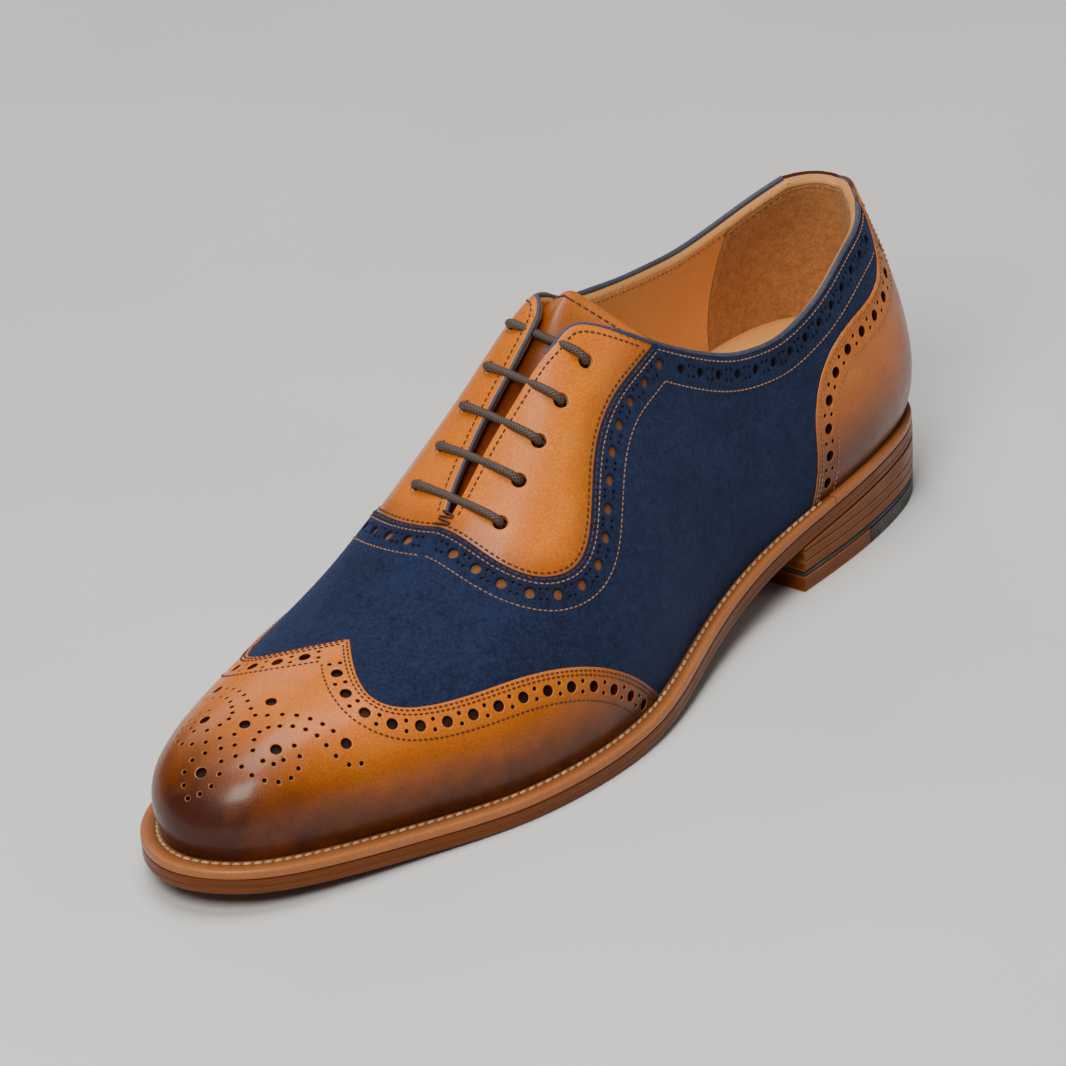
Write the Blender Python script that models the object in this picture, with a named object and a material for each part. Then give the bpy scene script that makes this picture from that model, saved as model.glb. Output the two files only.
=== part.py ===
"""Wing-tip spectator oxford, a left shoe, standing empty on its sole.

+X points to the toe, +Y to the outer side of the foot and +Z up. Every curved piece comes from one
surface, the last: a section rises from each point of the feather line, where the upper meets the
welt, to a ridge along the top of the foot. A point of it is named by three values: around, its
share of the way from the middle of the heel to the tip of the toe; side, +1 outer or -1 inner; and
up, its share of the way from the feather line to the ridge.
"""
import math

import bmesh
import bpy
import numpy as np
from mathutils import Vector
from mathutils.geometry import delaunay_2d_cdt

MM = 0.001

# Driving sizes
SOLE_LENGTH = 304.0 * MM
BALL_WIDTH = 99.0 * MM
HEEL_HEIGHT = 18.6 * MM
HEEL_LENGTH = 77.0 * MM
TOE_SPRING = 7.6 * MM
INSTEP_HEIGHT = 90.0 * MM
LEDGE = 7.5 * MM

# Thicknesses and clearances
GAP = 0.3 * MM
OUTSOLE_THICKNESS = 4.6 * MM
WELT_THICKNESS = 2.5 * MM
INSOLE_THICKNESS = 3.6 * MM
UPPER_WALL = 2.0 * MM
FACING_THICKNESS = 0.7 * MM
SUEDE_THICKNESS = 1.2 * MM
CAP_THICKNESS = 1.6 * MM
TONGUE_THICKNESS = 2.0 * MM
SEAM_GAP = 0.15 * MM
PANEL_DEPTH = FACING_THICKNESS + GAP

# Heel
TOP_PIECE_THICKNESS = 5.0 * MM
RUBBER_SHEET_THICKNESS = 1.2 * MM
LIFT_THICKNESS = 3.0 * MM
HEEL_TAPER = 0.07
TOP_PIECE_JOINT = 44.0 * MM
SOLE_BEVEL = 0.9 * MM
LIFTS = 3
HEEL_STEP_CLEAR = 3.0 * MM
WELT_END = 0.228

# Lacing
EYELET_RADIUS = 2.1 * MM
LACE_RADIUS = 1.3 * MM
LACE_DIP = 1.6 * MM
LACE_CLEARANCE = 0.2 * MM
LACE_TURN = 0.04
EYELET_SIDES = 8

# Outline and section shape, heel to toe. along is a share of SOLE_LENGTH; across, fullness and
# reach are shares of BALL_WIDTH; ledge of LEDGE; rise and drop of INSTEP_HEIGHT.
# columns: along, across, ledge, rise, fullness, reach, drop
OUTER_SIDE = (
    (0.000, 0.000, 0.45, 0.270, 0.140, 0.070, 0.460),
    (0.023, 0.206, 0.45, 0.270, 0.135, 0.120, 0.440),
    (0.100, 0.313, 0.45, 0.281, 0.110, 0.180, 0.370),
    (0.200, 0.345, 0.48, 0.311, 0.060, 0.212, 0.267),
    (0.317, 0.352, 0.56, 0.333, 0.056, 0.192, 0.156),
    (0.417, 0.404, 0.64, 0.344, 0.061, 0.176, 0.089),
    (0.533, 0.501, 0.75, 0.322, 0.061, 0.215, 0.044),
    (0.633, 0.509, 0.80, 0.283, 0.061, 0.270, 0.022),
    (0.717, 0.461, 0.85, 0.256, 0.058, 0.305, 0.011),
    (0.817, 0.343, 0.93, 0.247, 0.055, 0.330, 0.000),
    (0.917, 0.220, 0.98, 0.245, 0.050, 0.335, 0.000),
    (0.973, 0.106, 1.00, 0.245, 0.040, 0.335, 0.000),
    (1.000, -0.090, 1.00, 0.250, 0.040, 0.335, 0.000),
)
INNER_SIDE = (
    (0.023, -0.204, 0.45, 0.270, 0.135, 0.120, 0.440),
    (0.100, -0.313, 0.45, 0.285, 0.105, 0.180, 0.370),
    (0.217, -0.313, 0.43, 0.311, 0.065, 0.212, 0.267),
    (0.333, -0.278, 0.43, 0.335, 0.080, 0.200, 0.156),
    (0.433, -0.303, 0.48, 0.350, 0.096, 0.270, 0.080),
    (0.550, -0.414, 0.59, 0.350, 0.108, 0.355, 0.042),
    (0.650, -0.485, 0.67, 0.320, 0.092, 0.355, 0.011),
    (0.733, -0.488, 0.72, 0.290, 0.075, 0.370, -0.003),
    (0.833, -0.468, 0.77, 0.268, 0.062, 0.360, -0.005),
    (0.925, -0.380, 0.85, 0.270, 0.075, 0.365, -0.003),
    (0.980, -0.244, 0.93, 0.270, 0.080, 0.370, -0.003),
)

# Where each section meets the ridge: around, along
RIDGE_FOOT = (
    (0.000, 0.050), (0.063, 0.075), (0.138, 0.130), (0.235, 0.210), (0.338, 0.320),
    (0.428, 0.415), (0.536, 0.515), (0.626, 0.605), (0.700, 0.680), (0.793, 0.740),
    (0.883, 0.775), (0.945, 0.795), (1.000, 0.800),
)

# The ridge: along, height over the welt as a share of INSTEP_HEIGHT, aside as a share of BALL_WIDTH
RIDGE = (
    (0.030, 1.204, 0.000), (0.100, 1.187, 0.000), (0.200, 1.158, 0.000), (0.300, 1.145, -0.010),
    (0.380, 1.125, -0.015), (0.436, 1.113, -0.022), (0.475, 1.030, -0.018), (0.540, 0.852, -0.020),
    (0.613, 0.667, -0.020), (0.690, 0.524, -0.030), (0.755, 0.453, -0.036), (0.800, 0.422, -0.040),
    (0.860, 0.375, -0.050),
)

# Lower face of the sole over the heel: share of HEEL_LENGTH, of HEEL_HEIGHT and of TOE_SPRING
HEEL_BOTTOM = ((0.000, 1.000, 0.000), (0.790, 0.882, 0.000), (1.117, 0.731, 0.000))

# Lower face of the sole in front of it: along, share of HEEL_HEIGHT and of TOE_SPRING
FRONT_BOTTOM = (
    (0.400, 0.398, 0.000), (0.530, 0.086, 0.000), (0.633, 0.000, 0.000), (0.717, 0.000, 0.000),
    (0.817, 0.000, 0.197), (0.900, 0.000, 0.526), (1.000, 0.000, 1.000),
)

# Edges of the panels by side: around, up. The collar and the facings run from the heel forward.
TAB_TOP = {
    1: ((0.000, 0.672), (0.030, 0.672), (0.055, 0.640)),
    -1: ((0.000, 0.672), (0.037, 0.682), (0.074, 0.681)),
}
TOPLINE = {
    1: ((0.055, 0.640), (0.091, 0.614), (0.125, 0.594), (0.161, 0.562), (0.195, 0.527),
        (0.228, 0.501), (0.256, 0.489), (0.281, 0.494), (0.308, 0.514), (0.335, 0.555),
        (0.385, 0.663)),
    -1: ((0.074, 0.681), (0.118, 0.637), (0.158, 0.602), (0.205, 0.584), (0.257, 0.596),
         (0.308, 0.625), (0.357, 0.679), (0.385, 0.718)),
}
FACING_TOP = {
    1: ((0.385, 0.663), (0.420, 0.752), (0.437, 0.801), (0.452, 0.845), (0.465, 0.872),
        (0.478, 0.886)),
    -1: ((0.385, 0.718), (0.415, 0.795), (0.439, 0.866), (0.452, 0.930), (0.470, 0.975)),
}
THROAT_EDGE = {
    1: ((0.478, 0.886), (0.492, 0.909), (0.519, 0.938), (0.544, 0.957), (0.567, 0.973),
        (0.608, 0.985), (0.630, 0.987)),
    -1: ((0.470, 0.975), (0.489, 0.975), (0.507, 0.969), (0.535, 0.960), (0.555, 0.955),
         (0.575, 0.956), (0.618, 0.973), (0.630, 0.985)),
}
THROAT_END = {
    1: ((0.630, 0.987), (0.634, 1.000)),
    -1: ((0.630, 0.985), (0.634, 1.000)),
}
FACING_EDGE = {
    1: ((0.385, 0.663), (0.428, 0.643), (0.485, 0.634), (0.505, 0.607), (0.536, 0.536),
        (0.550, 0.516), (0.567, 0.516), (0.602, 0.594), (0.627, 0.749), (0.638, 0.922),
        (0.643, 1.000)),
    -1: ((0.385, 0.718), (0.428, 0.665), (0.485, 0.634), (0.505, 0.607), (0.536, 0.536),
         (0.550, 0.516), (0.567, 0.530), (0.607, 0.686), (0.629, 0.822), (0.641, 0.950),
         (0.643, 1.000)),
}
WING_EDGE = (
    (0.508, 0.000), (0.542, 0.134), (0.600, 0.300), (0.668, 0.432), (0.751, 0.538), (0.782, 0.603),
    (0.802, 0.685), (0.816, 0.803), (0.825, 1.000),
)
COUNTER_FRONT = (
    (0.249, 0.000), (0.241, 0.130), (0.236, 0.264), (0.215, 0.366), (0.165, 0.439), (0.101, 0.491),
)
COUNTER_EDGE = {
    1: COUNTER_FRONT + ((0.080, 0.540), (0.065, 0.590), (0.055, 0.640)),
    -1: COUNTER_FRONT + ((0.084, 0.550), (0.077, 0.610), (0.074, 0.681)),
}
TAB_EDGE = {
    1: ((0.000, 0.612), (0.030, 0.608), (0.047, 0.614), (0.055, 0.640)),
    -1: ((0.000, 0.612), (0.040, 0.618), (0.066, 0.632), (0.074, 0.681)),
}
EYELETS = {
    1: ((0.462, 0.762), (0.503, 0.787), (0.540, 0.803), (0.573, 0.810), (0.606, 0.806)),
    -1: ((0.469, 0.866), (0.503, 0.860), (0.533, 0.842), (0.565, 0.829), (0.597, 0.813)),
}

# The tongue, front to top: around at its middle and at its side, up at its side
TONGUE = (
    (0.660, 0.655, 0.80), (0.600, 0.600, 0.74), (0.540, 0.535, 0.70), (0.480, 0.465, 0.65),
    (0.418, 0.392, 0.60),
)
TONGUE_ROWS = 12
TONGUE_COLUMNS = 9
TONGUE_CLEARANCE = 1.7 * MM

# Finishes: name, colour, roughness
FINISHES = {
    "tan": ("tan_leather", (0.40, 0.155, 0.035), 0.35),
    "navy": ("navy_suede", (0.012, 0.022, 0.075), 0.95),
    "sole": ("sole_leather", (0.20, 0.075, 0.025), 0.45),
    "welt": ("welt_leather", (0.30, 0.13, 0.055), 0.50),
    "lining": ("lining_leather", (0.50, 0.25, 0.09), 0.60),
    "rubber": ("black_rubber", (0.012, 0.012, 0.012), 0.70),
    "lace": ("waxed_lace", (0.035, 0.020, 0.015), 0.60),
}

# Fineness of the nets
STATIONS = 34
STATION_CROWDING = 0.05
STATION_CLEAR = 0.012
SHARE_STEP = 0.002
TINY_SHARE = 1e-9
RIDGE_START = 0.60
RIDGE_END = 0.999
CDT_TOLERANCE = 1e-4
FLAT_DIGITS = 2
HEEL_REACH = 0.35
HEEL_SAMPLES = 140
SHARP_ANGLE = 35.0
INTERIOR_ROWS = (0.10, 0.22, 0.35, 0.48, 0.61, 0.73, 0.84, 0.93)
SPACING = 5.5 * MM
RIDGE_STEP = 9.0 * MM
SEAM_STEP = 8.0 * MM
LACE_POINTS = 16


class Spline:
    """Cubic spline through rows of values, natural at its ends or closed after a period."""

    def __init__(self, knots, rows, period=None):
        self.knots = np.asarray(knots, float)
        self.rows = np.asarray(rows, float)
        self.period = period
        if period is not None:
            self.knots = np.append(self.knots, self.knots[0] + period)
            self.rows = np.vstack([self.rows, self.rows[:1]])
        step = np.diff(self.knots)
        slope = np.diff(self.rows, axis=0) / step[:, None]
        count = len(self.knots)
        system = np.zeros((count, count))
        right = np.zeros_like(self.rows)
        for i in range(1, count - 1):
            system[i, i - 1:i + 2] = step[i - 1] / 6, (step[i - 1] + step[i]) / 3, step[i] / 6
            right[i] = slope[i] - slope[i - 1]
        if period is None:
            system[0, 0] = system[-1, -1] = 1
        else:
            system[0, [0, -1]] = 1, -1
            system[-1, [0, 1, -2, -1]] = step[0] / 3, step[0] / 6, step[-1] / 6, step[-1] / 3
            right[-1] = slope[0] - slope[-1]
        self.bend = np.linalg.solve(system, right)

    def __call__(self, at):
        at = np.asarray(at, float)
        if self.period is None:
            at = np.clip(at, self.knots[0], self.knots[-1])
        else:
            at = (at - self.knots[0]) % self.period + self.knots[0]
        k = np.clip(np.searchsorted(self.knots, at, side="right") - 1, 0, len(self.knots) - 2)
        step = (self.knots[k + 1] - self.knots[k])[..., None]
        left = (self.knots[k + 1] - at)[..., None] / step
        right = 1 - left
        bend = (left**3 - left) * self.bend[k] + (right**3 - right) * self.bend[k + 1]
        return left * self.rows[k] + right * self.rows[k + 1] + bend * step**2 / 6


def outline_spline():
    """Closed spline of the sole outline and section shapes, with its length and the toe's place."""
    rows = np.array(OUTER_SIDE + INNER_SIDE[::-1])
    units = (SOLE_LENGTH, BALL_WIDTH, LEDGE, INSTEP_HEIGHT, BALL_WIDTH, BALL_WIDTH, INSTEP_HEIGHT)
    rows = rows * np.array(units)
    chords = np.linalg.norm(np.diff(np.vstack([rows, rows[:1]])[:, :2], axis=0), axis=1)
    knots = np.concatenate([[0.0], np.cumsum(chords)])
    return Spline(knots[:-1], rows, period=knots[-1]), knots[-1], knots[len(OUTER_SIDE) - 1]


def mirrored_spline(table):
    """Spline of a table over around, level at the heel and at the toe."""
    table = np.array(table)
    knots = np.concatenate([table[:, 0], 2 - table[-2:0:-1, 0]])
    return Spline(knots, np.concatenate([table[:, 1:], table[-2:0:-1, 1:]]), period=2.0)


def sole_line():
    """Spline of the sole's lower face over the distance from the heel."""
    rows = np.array(HEEL_BOTTOM + FRONT_BOTTOM)
    units = np.array([HEEL_LENGTH] * len(HEEL_BOTTOM) + [SOLE_LENGTH] * len(FRONT_BOTTOM))
    return Spline(rows[:, 0] * units, rows[:, 1:])


OUTLINE, PERIMETER, TOE_AT = outline_spline()
RIDGE_ALONG = mirrored_spline(RIDGE_FOOT)
RIDGE_LINE = Spline(np.array(RIDGE)[:, 0], np.array(RIDGE)[:, 1:])
SOLE_LINE = sole_line()


def bottom_height(x):
    """Height of the sole's lower face."""
    heel, spring = np.moveaxis(SOLE_LINE(x), -1, 0)
    return np.maximum(heel, 0) * HEEL_HEIGHT + np.maximum(spring, 0) * TOE_SPRING


def welt_top(x):
    """Height of the welt's upper face."""
    return bottom_height(x) + OUTSOLE_THICKNESS + GAP + WELT_THICKNESS


def ridge_point(x):
    """Point of the last's ridge at a distance from the heel."""
    height, aside = np.moveaxis(RIDGE_LINE(x / SOLE_LENGTH), -1, 0)
    return np.stack([x, aside * BALL_WIDTH, welt_top(x) + height * INSTEP_HEIGHT], axis=-1)


def outline_row(around, side):
    """Outline point and section shape at a place round the sole, and the way out of the outline."""
    around, side = np.broadcast_arrays(np.asarray(around, float), side)
    at = np.where(side > 0, around * TOE_AT, PERIMETER - around * (PERIMETER - TOE_AT))
    row = OUTLINE(at)
    way = OUTLINE(at + 0.5 * MM)[..., :2] - OUTLINE(at - 0.5 * MM)[..., :2]
    way /= np.linalg.norm(way, axis=-1, keepdims=True)
    return row, np.stack([-way[..., 1], way[..., 0]], axis=-1)


def outline_point(around, side, inset=0.0, ledge=0.0):
    """Point of the sole outline moved in by an inset and a share of its ledge."""
    row, out = outline_row(around, side)
    return row[..., :2] - out * (inset + ledge * row[..., 2:3])


def section(around, side):
    """Four control points of the section that rises from a place on the feather line."""
    row = outline_row(around, side)[0]
    foot = outline_point(around, side, ledge=1.0)
    low = np.concatenate([foot, (welt_top(foot[..., 0]))[..., None]], axis=-1)
    x = np.broadcast_to(RIDGE_ALONG(around)[..., 0] * SOLE_LENGTH, foot.shape[:-1])
    top = ridge_point(x)
    slope = (ridge_point(x + MM)[..., 2] - ridge_point(x - MM)[..., 2]) / (2 * MM)
    out = low[..., :2] - top[..., :2]
    out = out / np.linalg.norm(out, axis=-1, keepdims=True)
    rise, full, reach, drop = (row[..., k] for k in (3, 4, 5, 6))
    belly = low + np.stack([out[..., 0] * full, out[..., 1] * full, rise], axis=-1)
    fall = out[..., 0] * reach * slope - drop
    shoulder = top + np.stack([out[..., 0] * reach, out[..., 1] * reach, fall], axis=-1)
    return low, belly, shoulder, top


def last_point(around, side, up):
    """Point of the last's surface."""
    low, belly, shoulder, top = section(around, side)
    up = np.asarray(up, float)[..., None]
    low_part = (1 - up)**3 * low + 3 * up * (1 - up)**2 * belly
    return low_part + 3 * up**2 * (1 - up) * shoulder + up**3 * top


def flat_point(around, side, up):
    """Place of a surface point in a flat map, where the panels are cut."""
    low, _, _, top = section(around, side)
    up = np.asarray(up, float)[..., None]
    return (1 - up) * low[..., :2] + up * top[..., :2]


def edge_curve(rows, side):
    """Spline through the rows of an edge, over its length on the last."""
    rows = np.array(rows)
    points = last_point(rows[:, 0], side, rows[:, 1])
    knots = np.concatenate([[0.0], np.cumsum(np.linalg.norm(np.diff(points, axis=0), axis=1))])
    return Spline(knots, rows), knots[-1]


def edge_points(edge, side, step=SEAM_STEP):
    """Evenly spaced surface places along an edge, as rows of around, side and up."""
    rows = edge[side] if isinstance(edge, dict) else edge
    curve, length = edge_curve(rows, side)
    count = max(2, round(length / step) + 1)
    places = np.clip(curve(np.linspace(0, length, count)), 0, 1)
    places[0], places[-1] = rows[0], rows[-1]
    return [(around, side, up) for around, up in places]


def feather_stations():
    """Places round the sole where every ring of points stands, closer at the heel and the toe."""
    even = np.linspace(0, 1, STATIONS + 1)
    around = even - STATION_CROWDING * np.sin(2 * math.pi * even)
    ends = (WING_EDGE[0][0], COUNTER_FRONT[0][0])
    kept = [a for a in around if all(abs(a - end) > STATION_CLEAR for end in ends)]
    return sorted(kept + list(ends))


AROUND = feather_stations()


def ring(inset, ledge, height):
    """Points round the whole outline at a height that depends on the distance from the heel."""
    outer = [(a, 1) for a in AROUND]
    inner = [(a, -1) for a in reversed(AROUND[1:-1])]
    points = [outline_point(a, side, inset, ledge) for a, side in outer + inner]
    return [Vector((x, y, float(height(x)))) for x, y in points]


def heel_ring(start, end, inset, height):
    """Points round the heel between two distances along the shoe, cut square at each."""
    def side_line(side):
        shares = np.linspace(0, HEEL_REACH, HEEL_SAMPLES)
        fine = np.array([outline_point(a, side, inset) for a in shares])
        nearest = start + HEEL_STEP_CLEAR if start > 0 else 0.0
        furthest = end - HEEL_STEP_CLEAR
        kept = [a for a in AROUND[1:] if nearest < outline_point(a, side)[0] < furthest]
        line = [tuple(outline_point(a, side, inset)) for a in kept]
        if start > 0:
            line.insert(0, (start, np.interp(start, fine[:, 0], fine[:, 1])))
        return line + [(end, np.interp(end, fine[:, 0], fine[:, 1]))]

    back = [tuple(outline_point(0.0, 1, inset))] if start == 0 else []
    points = back + side_line(1) + side_line(-1)[::-1]
    return [Vector((x, y, float(height(x)))) for x, y in points]


def cap_faces(ring_size, first, flip, closed_back=True):
    """Strips of faces across a ring, which pair its outer side with its inner side."""
    faces = []
    i, j = (1, ring_size - 1) if closed_back else (0, ring_size - 1)
    if closed_back:
        faces.append((0, 1, ring_size - 1))
    while i + 1 < j - 1:
        faces.append((i, i + 1, j - 1))
        faces.append((i, j - 1, j))
        i, j = i + 1, j - 1
    if i + 1 == j - 1:
        faces.append((i, i + 1, j))
    return [tuple(first + k for k in (face[::-1] if flip else face)) for face in faces]


def add_mesh(name, points, faces, material):
    """Object with smooth shading, its faces turned out."""
    mesh = bpy.data.meshes.new(name)
    mesh.from_pydata([tuple(p) for p in points], [], [tuple(int(i) for i in f) for f in faces])
    net = bmesh.new()
    net.from_mesh(mesh)
    bmesh.ops.recalc_face_normals(net, faces=net.faces)
    net.to_mesh(mesh)
    net.free()
    mesh.shade_smooth()
    mesh.set_sharp_from_angle(angle=math.radians(SHARP_ANGLE))
    mesh.materials.append(material)
    shape = bpy.data.objects.new(name, mesh)
    bpy.context.scene.collection.objects.link(shape)
    return shape


def loft(name, rings, material, closed_back=True):
    """Closed solid through rings of equal size, the lowest first."""
    size = len(rings[0])
    points = [p for one in rings for p in one]
    faces = []
    for level in range(len(rings) - 1):
        low, high = level * size, (level + 1) * size
        for k in range(size):
            after = (k + 1) % size
            faces.append((low + k, high + k, high + after))
            faces.append((low + k, high + after, low + after))
    faces += cap_faces(size, 0, False, closed_back)
    faces += cap_faces(size, (len(rings) - 1) * size, True, closed_back)
    return add_mesh(name, points, faces, material)


def strip(name, places, inset, ledge, low, high, material):
    """Solid band that follows the outline between two heights, as a welt does."""
    points = []
    for around, side in places:
        outer = outline_point(around, side)
        inner = outline_point(around, side, inset, ledge)
        for (x, y), height in ((outer, low), (inner, low), (inner, high), (outer, high)):
            points.append(Vector((x, y, float(height(x)))))
    faces = []
    for k in range(len(places) - 1):
        for a in range(4):
            b = (a + 1) % 4
            here, after = 4 * k, 4 * k + 4
            faces.append((here + a, after + a, after + b))
            faces.append((here + a, after + b, here + b))
    end = 4 * (len(places) - 1)
    faces += [(0, 1, 2), (0, 2, 3), (end, end + 2, end + 1), (end, end + 3, end + 2)]
    return add_mesh(name, points, faces, material)


def feather_arc(start, end, side):
    """Places on the feather line of one side between two shares round it."""
    return [(a, side, 0.0) for a in AROUND if start - TINY_SHARE <= a <= end + TINY_SHARE]


def eyelet_ring(around, side, up, radius=EYELET_RADIUS):
    """Places on a circle round an eyelet, found from the surface's own steps there."""
    here = last_point(around, side, up)
    along = (last_point(around + SHARE_STEP, side, up) - here) / SHARE_STEP
    across = (last_point(around, side, up + SHARE_STEP) - here) / SHARE_STEP
    first = along / np.linalg.norm(along)
    normal = np.cross(first, across)
    second = np.cross(normal / np.linalg.norm(normal), first)
    places = []
    for k in range(EYELET_SIDES):
        turn = 2 * math.pi * k / EYELET_SIDES
        way = radius * (math.cos(turn) * first + math.sin(turn) * second)
        shares = np.linalg.lstsq(np.column_stack([along, across]), way, rcond=None)[0]
        places.append((around + float(shares[0]), side, up + float(shares[1])))
    return places


def inside(point, polygon):
    """Whether a point of the flat map lies in a polygon."""
    x, y = point
    ends = np.roll(polygon, -1, axis=0)
    crosses = (polygon[:, 1] > y) != (ends[:, 1] > y)
    rise = np.where(crosses, ends[:, 1] - polygon[:, 1], 1.0)
    at = polygon[:, 0] + (y - polygon[:, 1]) / rise * (ends[:, 0] - polygon[:, 0])
    return bool(np.count_nonzero(crosses & (x < at)) % 2)


class UpperMap:
    """The whole upper as one net of triangles, with every seam on edges of the net."""

    def __init__(self):
        self.places = []
        self.index = {}
        self.links = []
        self.polygons = {}
        self.add_seams()
        self.add_interior()
        self.triangulate()

    def flat(self, place):
        return flat_point(*place) / MM

    def add(self, place):
        """Index of a place, the same for places that coincide."""
        key = tuple(np.round(self.flat(place), FLAT_DIGITS))
        if key not in self.index:
            self.index[key] = len(self.places)
            self.places.append(place)
        return self.index[key]

    def add_line(self, places, closed=False):
        """Keep a run of places as edges of the net."""
        ids = [self.add(p) for p in places]
        if closed:
            ids.append(ids[0])
        for a, b in zip(ids, ids[1:]):
            if a != b and (a, b) not in self.links and (b, a) not in self.links:
                self.links.append((a, b))

    def polygon(self, name, places):
        self.polygons[name] = np.array([self.flat(p) for p in places])

    def add_seams(self):
        """Edges of the panels, the opening and the eyelets, as lines and as polygons."""
        loops = {name: {} for name in ("outline", "opening", "wing_cap", "back_tab", "heel_counter")}
        for side in (1, -1):
            feather = feather_arc(0, 1, side)
            tab_top = edge_points(TAB_TOP, side)
            facing_top = edge_points(FACING_TOP, side, SEAM_STEP / 2)
            throat = edge_points(THROAT_EDGE, side) + edge_points(THROAT_END, side)[1:]
            opening = tab_top + edge_points(TOPLINE, side)[1:] + facing_top[1:] + throat[1:]
            facing = edge_points(FACING_EDGE, side)
            wing = edge_points(WING_EDGE, side)
            counter = edge_points(COUNTER_EDGE, side)
            tab = edge_points(TAB_EDGE, side)
            for line in (feather, opening, facing, wing, counter, tab):
                self.add_line(line)
            loops["outline"][side] = feather
            loops["opening"][side] = opening
            loops["wing_cap"][side] = wing[::-1] + feather_arc(wing[0][0], 1, side)
            loops["back_tab"][side] = tab_top + tab[::-1]
            loops["heel_counter"][side] = feather_arc(0, counter[0][0], side) + counter + tab[::-1]
            name = "facing_left" if side > 0 else "facing_right"
            self.polygon(name, facing + throat[::-1] + facing_top[::-1])
            for number, (around, up) in enumerate(EYELETS[side]):
                circle = eyelet_ring(around, side, up)
                self.add_line(circle, closed=True)
                self.polygon(f"eyelet_{number}_{side}", circle)
        for name, loop in loops.items():
            self.polygon(name, loop[1] + loop[-1][::-1])

    def add_interior(self):
        """Spread points over the panels, clear of the seams and of each other."""
        ridge = np.arange(RIDGE_START, RIDGE_END, RIDGE_STEP / TOE_AT)
        found = [(float(a), 1, 1.0) for a in ridge]
        found += [(a, side, up) for a in AROUND for side in (1, -1) for up in INTERIOR_ROWS]
        taken = np.array([last_point(*p) for p in self.places])
        for place in found:
            here = last_point(*place)
            near = np.linalg.norm(taken - here, axis=1).min()
            if near > SPACING and self.covers(self.flat(place)):
                taken = np.vstack([taken, here])
                self.add(place)

    def covers(self, point):
        """Whether the upper has material at a point of the flat map."""
        if not inside(point, self.polygons["outline"]) or inside(point, self.polygons["opening"]):
            return False
        holes = [p for name, p in self.polygons.items() if name.startswith("eyelet")]
        return not any(inside(point, hole) for hole in holes)

    def triangulate(self):
        """Cut the flat map into triangles that keep every seam, and name the panel of each."""
        flat = [Vector(self.flat(p)) for p in self.places]
        result = delaunay_2d_cdt(flat, self.links, [], 0, CDT_TOLERANCE)
        origins = [ids[0] for ids in result[3]]
        self.triangles = []
        self.panels = []
        for face in result[2]:
            corners = [origins[i] for i in face]
            middle = np.mean([flat[i] for i in corners], axis=0)
            if self.covers(middle):
                self.triangles.append(corners)
                self.panels.append(self.panel_at(middle))
        self.points = np.array([last_point(*p) for p in self.places])
        self.triangles = np.array(self.triangles)
        self.normals = vertex_normals(self.points, self.triangles)

    def panel_at(self, point):
        names = ("wing_cap", "back_tab", "heel_counter", "facing_left", "facing_right")
        for name in names:
            if inside(point, self.polygons[name]):
                return name
        return "suede_quarters"

    def shell(self, name, inner, outer, material, panel=None):
        """Solid between two offsets of the net, or of one of its panels."""
        chosen = [k for k, one in enumerate(self.panels) if panel in (None, one)]
        triangles = self.triangles[chosen]
        used = sorted(set(triangles.ravel()))
        number = {old: new for new, old in enumerate(used)}
        triangles = np.array([[number[i] for i in t] for t in triangles])
        points, normals = self.points[used], self.normals[used]
        rim = open_edges(triangles)
        feather = np.array([self.places[i][2] == 0 for i in used])
        if panel is not None:
            points = points + rim_shift(points, normals, triangles, rim) * ~feather[:, None]
        layers = []
        for offset in (outer, inner):
            layer = points + normals * offset
            layer[feather, 2] = welt_top(layer[feather, 0]) + GAP
            layers.append(layer)
        count = len(points)
        faces = [tuple(t) for t in triangles] + [tuple(count + i for i in t[::-1]) for t in triangles]
        for a, b in rim:
            faces.append((b, a, count + a))
            faces.append((b, count + a, count + b))
        return add_mesh(name, np.concatenate(layers), faces, material)


def vertex_normals(points, triangles):
    """Way out of a net at each of its points."""
    corners = points[triangles]
    faces = np.cross(corners[:, 1] - corners[:, 0], corners[:, 2] - corners[:, 0])
    normals = np.zeros_like(points)
    for k in range(3):
        np.add.at(normals, triangles[:, k], faces)
    return normals / np.maximum(np.linalg.norm(normals, axis=1, keepdims=True), 1e-12)


def open_edges(triangles):
    """Edges with a triangle on one side only, in that triangle's order."""
    edges = [(int(t[k]), int(t[(k + 1) % 3])) for t in triangles for k in range(3)]
    known = set(edges)
    return [(a, b) for a, b in edges if (b, a) not in known]


def rim_shift(points, normals, triangles, rim):
    """Small step into a panel at each point of its rim, which opens the seam."""
    shift = np.zeros_like(points)
    for a, b in rim:
        for k in (a, b):
            shift[k] += np.cross(normals[k], points[b] - points[a])
    size = np.linalg.norm(shift, axis=1, keepdims=True)
    return shift / np.where(size > 0, size, 1) * SEAM_GAP


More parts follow.
